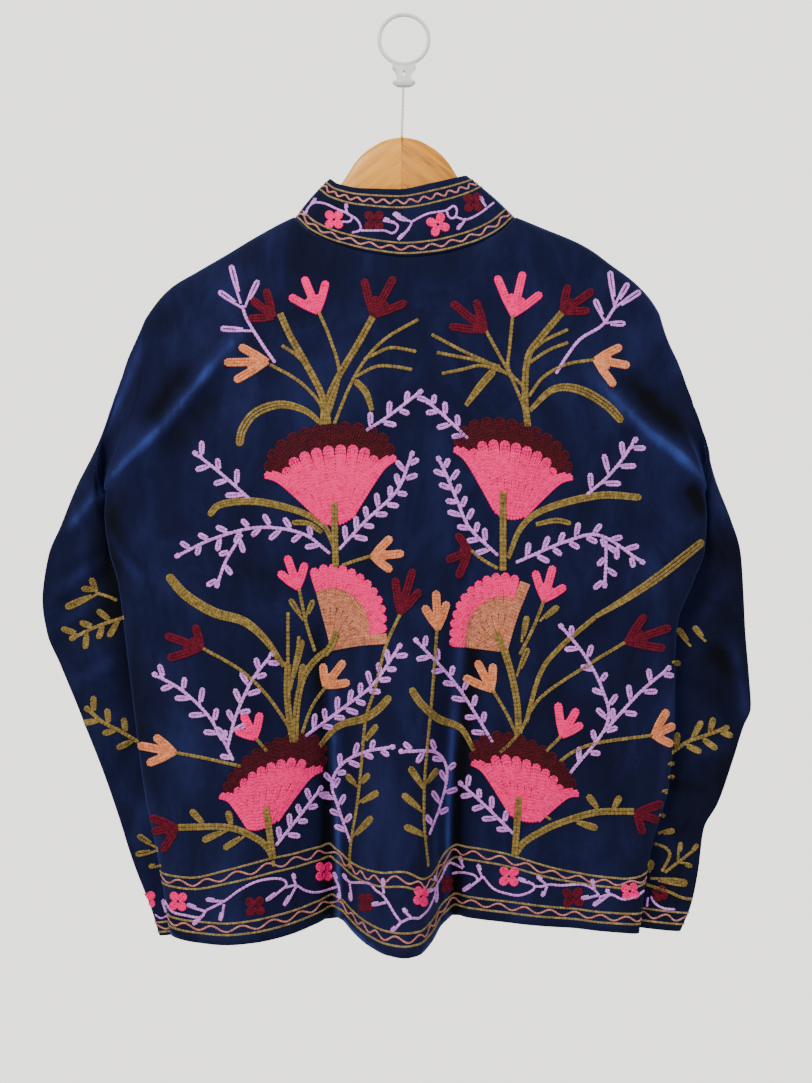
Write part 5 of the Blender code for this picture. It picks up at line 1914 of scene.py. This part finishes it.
small_flower("sleeves", "pink", 147, 899, 9.0)
lobe("sleeves", "lilac", (166, 912), (163, 899), 2.8, 5.0)
print("charted the sleeves")

# %% [markdown]
# Embroidered bands edge the collar, the hem and the cuffs: two narrow trims, or one at a cuff, each
# a pair of golden lines with a rose wave between them, and a row of flowers on a lilac vine. The
# trims run at set heights along the cloth itself, so they are placed on the nets and not through
# the chart, and they stay even however the hem folds.

# %% Lines that follow an edge
def net_lengths(points, edge):
    """How far along the edge each column stands, and how far up each column its rows stand."""
    line = points[:, edge]
    along = lengths(line)
    ordered = points if edge == 0 else points[:, ::-1]
    up = np.cumsum(np.linalg.norm(np.diff(ordered, axis=1), axis=2), axis=1)
    return along, np.concatenate([np.zeros((len(points), 1)), up], axis=1), ordered


def edge_net(net, edge, closed=False):
    """What is needed to place a line on a panel: its outer face, and lengths along and up."""
    points, normals = net
    outer = points + normals * CLOTH / 2
    if closed:
        outer = np.concatenate([outer, outer[:1]])
        normals = np.concatenate([normals, normals[:1]])
    along, up, ordered = net_lengths(outer, edge)
    facing = normals if edge == 0 else normals[:, ::-1]
    return along, up, ordered, facing


def on_edge(placed, s, h):
    """Points and normals at lengths s along the edge and heights h above it, in millimetres."""
    along, up, points, normals = placed
    i = np.clip(np.searchsorted(along, s) - 1, 0, len(along) - 2)
    t = np.clip((s - along[i]) / (along[i + 1] - along[i]), 0, 1)
    out = []
    facing = []
    for k in range(len(s)):
        pair = []
        for j in (i[k], i[k] + 1):
            p = [np.interp(h[k], up[j], points[j, :, c]) for c in range(3)]
            n = [np.interp(h[k], up[j], normals[j, :, c]) for c in range(3)]
            pair.append((np.array(p), np.array(n)))
        out.append(pair[0][0] * (1 - t[k]) + pair[1][0] * t[k])
        facing.append(pair[0][1] * (1 - t[k]) + pair[1][1] * t[k])
    facing = np.array(facing)
    facing /= np.linalg.norm(facing, axis=1, keepdims=True)
    return np.array(out) * MM, facing


def edge_line(group, colour, placed, s, h, width=2.2, pitch=2.8):
    """One row of stitches along an edge."""
    points, normals = on_edge(placed, np.asarray(s, float), np.asarray(h, float))
    sew(group, colour, points, normals, width * MM, pitch * MM)


def trim(group, placed, low, high, rise, start=0.0, end=None, length=24.0):
    """Two golden lines and a rose wave between them; rise scales the heights along the edge."""
    end = placed[0][-1] if end is None else end
    s = np.arange(start, end, 1.0)
    k = rise(s)
    edge_line(group, "gold", placed, s, low * k)
    edge_line(group, "gold", placed, s, high * k)
    wobble = 0.35 * np.sin(s / 41.0 + 1.0)
    wave = np.sin(2 * math.pi * s / length + wobble * 3)
    edge_line(group, "rose", placed, s, ((low + high) / 2 + wave * (high - low) * 0.24) * k, 1.9)


# %% The hem band
BAND_RISE = (
    # x, share of the band's usual height
    (-207, 0.93),
    (-181, 0.94),
    (-145, 1.10),
    (-107, 1.18),
    (-69, 1.15),
    (-49, 1.03),
    (-18, 1.10),
    (0, 1.16),
    (22, 0.98),
    (41, 1.09),
    (81, 1.05),
    (131, 0.88),
    (148, 0.84),
    (187, 0.80),
    (200, 0.84),
    (209, 0.92),
)
LOW_TRIM = (9.0, 19.0)
HIGH_TRIM = (50.0, 60.5)
back_edge = edge_net(back_net, 0)
rise_x, rise_share = columns(BAND_RISE)
back_hem_x = back_net[0][:, 0, 0]


def back_rise(s):
    """The band's share of its usual height, at lengths along the back's hem."""
    return smooth(rise_x, rise_share, np.interp(s, back_edge[0], back_hem_x))


def low_rise(s):
    """The lower trim follows the hem more closely than the upper one does."""
    return 1 + (back_rise(s) - 1) * 0.4


trim("hem", back_edge, *LOW_TRIM, low_rise)
trim("hem", back_edge, *HIGH_TRIM, back_rise)
print("hem along the back:", round(back_edge[0][-1]), "mm")

# %% [markdown]
# The vine of the hem wanders between its flowers, over one and under the next, with leaflets beside
# them. On the back it is charted as it shows, for a rule would make it more even than a hand does.

# %% The hem's vine and flowers
HEM_VINES = (
    ((164, 898), (172, 911), (186, 915), (200, 917), (206, 910)),
    ((206, 910), (224, 901), (239, 890), (257, 881), (276, 878), (286, 881), (286, 887)),
    ((286, 887), (296, 885), (305, 890), (316, 892), (329, 889), (338, 886)),
    ((350, 882), (369, 883), (376, 890), (382, 894), (388, 902), (395, 914), (401, 922)),
    ((401, 922), (410, 918), (419, 918)),
    ((419, 918), (428, 909), (434, 896), (436, 886), (441, 877), (448, 863), (455, 864), (463, 868)),
    ((452, 873), (462, 872), (475, 875), (478, 880), (483, 876)),
    ((483, 876), (493, 888), (506, 893), (519, 895), (531, 891), (535, 886), (528, 881)),
    ((535, 886), (543, 886), (549, 884), (561, 885), (582, 884), (594, 889), (599, 895)),
    ((599, 897), (611, 894), (623, 899), (636, 896), (644, 890)),
)
HEM_LEAFLETS = (
    # root across and down, tip across and down
    (204, 914, 193, 924),
    (205, 911, 187, 904),
    (224, 901, 206, 899),
    (224, 904, 220, 920),
    (286, 886, 266, 900),
    (296, 885, 293, 873),
    (296, 886, 284, 905),
    (339, 886, 334, 872),
    (339, 886, 339, 899),
    (350, 882, 343, 874),
    (350, 883, 351, 900),
    (384, 893, 383, 878),
    (386, 902, 372, 904),
    (401, 922, 391, 931),
    (411, 917, 403, 908),
    (437, 887, 427, 891),
    (437, 884, 436, 901),
    (437, 880, 434, 876),
    (464, 867, 460, 856),
    (480, 879, 463, 890),
    (482, 877, 478, 864),
    (534, 884, 518, 878),
    (546, 884, 537, 875),
    (547, 886, 542, 896),
    (595, 889, 592, 879),
    (598, 895, 581, 898),
    (610, 894, 593, 905),
    (612, 895, 606, 889),
)
HEM_FLOWERS = (
    # wool, across, down, size, squeeze, turn
    ("pink", 178, 901, 10.5, 0.9, 50),
    ("bud_red", 255, 906, 10.5, 1.0, 40),
    ("pink", 324, 871, 10.5, 0.85, 45),
    ("bud_red", 366, 902, 10.0, 0.7, 45),
    ("pink", 421, 896, 10.5, 0.7, 55),
    ("bud_red", 447, 884, 9.5, 0.5, 45),
    ("pink", 509, 876, 11.0, 1.0, 48),
    ("bud_red", 573, 897, 10.5, 1.15, 40),
    ("pink", 630, 891, 8.6, 1.1, 35),
)
for points in HEM_VINES:
    stem("hem", "lilac", points, 1, 2.6)
for a0, b0, a1, b1 in HEM_LEAFLETS:
    lobe("hem", "lilac", (a0, b0), (a1, b1), 2.6, 5.0)
for colour, a, b, size, squeeze, turn in HEM_FLOWERS:
    small_flower("hem", colour, a, b, size, turn=turn, squeeze=squeeze)

# %% The collar band
collar_edge = edge_net(collar_net_points, 0)


def collar_share(low, high, colour, s, wave=None):
    """A row along the collar at a share of its height."""
    tall = np.array([np.interp(x, collar_edge[0], collar_edge[1][:, -1]) for x in s])
    h = tall * low if wave is None else tall * ((low + high) / 2 + wave * (high - low) * 0.2)
    edge_line("collar", colour, collar_edge, s, h, 2.0)


collar_s = np.arange(3.0, collar_edge[0][-1] - 3.0, 1.0)
for low, high, length in ((0.05, 0.2, 19.0), (0.72, 0.89, 17.0)):
    collar_share(low, low, "gold", collar_s)
    collar_share(high, high, "gold", collar_s)
    collar_share(low, high, "rose", collar_s, np.sin(2 * math.pi * collar_s / length))

COLLAR_VINES = (
    ((306, 212), (309, 206), (315, 202), (325, 203), (336, 208), (346, 212)),
    ((346, 212), (352, 216), (350, 221), (342, 221)),
    ((347, 213), (357, 219), (361, 229), (352, 232)),
    ((361, 230), (373, 230), (385, 230), (393, 233), (398, 227), (396, 223), (383, 220)),
    ((393, 213), (400, 219), (409, 220), (412, 222), (407, 230), (399, 237)),
    ((412, 221), (428, 213), (446, 210), (453, 205), (457, 209), (455, 217), (449, 217), (447, 211)),
    ((455, 216), (464, 219), (470, 218), (481, 212), (494, 202)),
)
COLLAR_LEAFLETS = (
    (308, 207, 304, 215),
    (311, 204, 316, 198),
    (347, 213, 346, 203),
    (395, 222, 384, 218),
    (407, 219, 394, 212),
    (409, 228, 398, 239),
    (466, 218, 457, 229),
    (486, 206, 480, 196),
)
COLLAR_FLOWERS = (
    ("pink", 334, 219, 10.2, 45),
    ("bud_red", 374, 220, 10.8, 45),
    ("pink", 438, 224, 11.4, 20),
    ("bud_red", 473, 202, 10.4, 40),
)
for points in COLLAR_VINES:
    stem("collar", "lilac", points, 1, 2.4)
for a0, b0, a1, b1 in COLLAR_LEAFLETS:
    lobe("collar", "lilac", (a0, b0), (a1, b1), 2.6, 4.6)
for colour, a, b, size, turn in COLLAR_FLOWERS:
    small_flower("collar", colour, a, b, size, turn)

# %% [markdown]
# The cuffs have a narrow trim all round. The fronts, which hang towards the wall, and the cuffs' far
# sides are finished more plainly: the trims run on along them, and flowers and a vine repeat at even
# steps, which one function can draw.

# %% Cuffs and fronts
def even(s):
    """Leaves the heights of a band as they are."""
    return np.ones_like(s)


def spray(group, placed, start, end, low, high, step):
    """Flowers and a vine that repeat along an edge between two heights."""
    count = max(1, int((end - start) // step))
    step = (end - start) / count
    petal_out = 5.0
    petal_loop = 2.4
    mid = (low + high) / 2
    tall = high - low
    s = np.arange(start, end, 1.0)
    wave = np.cos(math.pi * (s - start) / step)
    edge_line(group, "lilac", placed, s, mid + wave * tall * 0.3, 2.0, 3.2)
    for k in range(count):
        at = start + step * (k + 0.5)
        for way in (-1, 1):
            root = at + way * step * 0.24
            t = np.linspace(0, 1, 8)
            for part in (-0.8, 0.8):
                edge_line(
                    group,
                    "lilac",
                    placed,
                    root + way * t * 6 + part * t,
                    mid + tall * (0.05 * way + 0.26 * t * way * (1 if k % 2 else -1)) + part,
                    1.9,
                    3.0,
                )
        flower_s = start + step * k
        side = 1 if k % 2 else -1
        flower_h = mid - side * tall * 0.12 + side * tall * 0.2
        colour = "pink" if k % 2 else "bud_red"
        for p in range(4):
            a = math.radians(45 + 90 * p)
            t = np.linspace(0, 2 * math.pi, 12)
            cs = flower_s + petal_out * math.cos(a) + np.cos(t) * petal_loop
            ch = flower_h + petal_out * math.sin(a) + np.sin(t) * petal_loop
            edge_line(group, colour, placed, cs, ch, 2.3, 2.6)
            t = np.linspace(0, 1, 5)
            edge_line(
                group, colour, placed, flower_s + t * 5 * math.cos(a), flower_h + t * 5 * math.sin(a), 2.5
            )


cuff_left = edge_net(sleeve_left_net, -1, closed=True)
cuff_right = edge_net(sleeve_right_net, -1, closed=True)
for placed, low, high in ((cuff_left, 3.5, 12.5), (cuff_right, 7.0, 18.0)):
    trim("cuffs", placed, low, high, even, length=20.0)
    half = placed[0][-1] / 2
    spray("cuffs", placed, half + 8, 2 * half - 8, high + 3.0, 46.0, 52.0)

front_left_edge = edge_net(front_left_net, 0)
front_right_edge = edge_net(front_right_net, 0)
for placed in (front_left_edge, front_right_edge):
    for low, high in (LOW_TRIM, HIGH_TRIM):
        trim("fronts", placed, low, high, even)
    spray("fronts", placed, 14.0, placed[0][-1] - 6.0, LOW_TRIM[1] + 1, HIGH_TRIM[0] - 1, 62.0)
print("bands done")

stitch_pieces()

# %% [markdown]
# The hanger is two flat arms of pale hardwood, mitred in the middle, so the grain of each runs down
# along its own arm and the two meet in a point. Under clear lacquer such wood is smooth and warm,
# with fine darker growth lines a few millimetres apart and short flecks. A noise that is stretched
# along the arm draws both, and needs no picture of wood that would have to be fitted to each arm.
# The two arms meet without quite touching, so a thin line of glue fills the mitre between them.

# %% Lacquered beech
def beech(name, slope, light, mid, dark):
    """Pale lacquered hardwood whose grain runs at a slope, in degrees."""
    material, tree, shader = new_material(
        name, Roughness=0.42, IOR=1.5, Coat_Weight=0.15, Coat_Roughness=0.22
    )
    place = add_node(tree, "ShaderNodeTexCoord")
    turned = mapping(tree, place, "Object", Rotation=(0.0, math.radians(slope), 0.0))
    stretched = mapping(tree, turned, "Vector", Scale=(0.08, 1.0, 1.0))
    rings = noise(tree, stretched, "Vector", 0.005, Detail=4.0, Roughness=0.55, Distortion=0.4)
    fleck = noise(tree, stretched, "Vector", 0.0011, Detail=2.0, Roughness=0.6)
    mixed = mix(tree, 0.3, (rings, "Fac"), (fleck, "Fac"))
    shade = colour_ramp(tree, mixed, "Result", ((0.34, dark), (0.5, mid), (0.68, light)))
    join_surface(tree, shader, shade, bump(tree, fleck, 0.08, 0.0004))
    return material


HANGER_SLOPE = 38.0
# The right arm's colours are a darker copy of the left's: painted shade, as the key light comes from the
# left.
WOODS = {
    "hanger_left": beech("lacquered_beech_left", HANGER_SLOPE, "#eca828", "#de9410", "#b8740c"),
    "hanger_right": beech("lacquered_beech_right_painted_shade", -HANGER_SLOPE, "#de9a1c", "#cd840c", "#a06208"),
}


def dress(node, material):
    """Gives a solid that stays its real finish."""
    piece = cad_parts[node]
    piece.data.materials.clear()
    piece.data.materials.append(material)
    for p in piece.data.polygons:
        p.material_index = 0


for node, material in WOODS.items():
    dress(node, material)


GLUE_OVERLAP = 0.05 * MM
GLUE_INSET = 0.3 * MM


def glue_line():
    """The brown glue that fills the hair-thin mitre between the two arms."""
    ends = [[v.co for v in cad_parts[node].data.vertices] for node in WOODS]
    x0 = max(v.x for v in ends[0]) - GLUE_OVERLAP
    x1 = min(v.x for v in ends[1]) + GLUE_OVERLAP
    near = [v for side in ends for v in side if x0 - MM < v.x < x1 + MM]
    y0 = min(v.y for v in near) + GLUE_INSET
    y1 = max(v.y for v in near) - GLUE_INSET
    z0 = min(v.z for v in near) + GLUE_INSET
    z1 = max(v.z for v in near) - GLUE_INSET
    corners = [(x, y, z) for z in (z0, z1) for y in (y0, y1) for x in (x0, x1)]
    faces = [(0, 2, 3, 1), (4, 5, 7, 6), (0, 1, 5, 4), (2, 6, 7, 3), (0, 4, 6, 2), (1, 3, 7, 5)]
    glue = new_material("dried_wood_glue", Base_Color=linear("#7c4a18"), Roughness=0.5)[0]
    piece = new_piece("hanger_glue_line", corners, faces, glue, rounded=False)
    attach(piece, "root")
    print("glue line:", round((x1 - x0) / MM, 2), "mm wide,", round((z1 - z0) / MM), "mm tall")


glue_line()

# %% [markdown]
# The clip with its ring is moulded in white plastic, slightly blue, smooth but not quite glossy. The
# cord is thin twisted cotton. These pieces keep their solids, which are true enough, and only get a
# finish: a soft cloudiness and a fine relief on the plastic, and slanting waves for the strands,
# with painted shade in the grooves between them.

# %% White plastic and cotton cord
def moulded(name, colour, shade_colour):
    """White moulded plastic with the faint unevenness of a cheap mould."""
    material, tree, shader = new_material(
        name, Roughness=0.32, IOR=1.46, Subsurface_Weight=0.08, Subsurface_Radius=(0.004, 0.004, 0.005)
    )
    place = add_node(tree, "ShaderNodeTexCoord")
    cloud = noise(tree, place, "Object", 0.012, Detail=2.0)
    orange_peel = noise(tree, place, "Object", 0.0008, Detail=1.0)
    shade = colour_ramp(tree, cloud, "Fac", ((0.35, shade_colour), (0.65, colour)))
    join_surface(tree, shader, shade, bump(tree, orange_peel, 0.06, 0.0003))
    return material


def twisted_cotton(name, colour, painted_groove_shade):
    """White cotton cord: its strands wind round about every 3 mm, with painted shade in the grooves
    between them.
    """
    material, tree, shader = new_material(name, Roughness=0.85, Sheen_Weight=0.3, IOR=1.5)
    place = add_node(tree, "ShaderNodeTexCoord")
    turned = mapping(tree, place, "Object", Rotation=(0.0, math.radians(35), 0.0))
    strands = add_node(
        tree,
        "ShaderNodeTexWave",
        {"Scale": 1 / 0.0075, "Distortion": 0.6, "Detail": 1.0},
        {"Vector": (turned, "Vector")},
        bands_direction="Z",
    )
    shade = colour_ramp(tree, strands, "Fac", ((0.15, painted_groove_shade), (0.55, colour)))
    join_surface(tree, shader, shade, bump(tree, strands, 0.5, 0.0004))
    return material


white_plastic = moulded("white_polypropylene", "#e6ecee", "#d2dcdf")
for node in ("ring", "clip_neck", "clip_foot"):
    dress(node, white_plastic)
# The grey is painted shade in the grooves between the strands.
dress("cord", twisted_cotton("twisted_cotton_cord", "#f1f1ee", "#b9bab8"))

# %% [markdown]
# Last, the box of the finished model is printed beside that of the solids, so that their sizes can be
# compared.

# %% Sizes and finish
both = {
    "cad": [list(map(float, corner)) for corner in cad_box],
    "visual": [list(map(float, corner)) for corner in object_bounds()],
}
print(both)
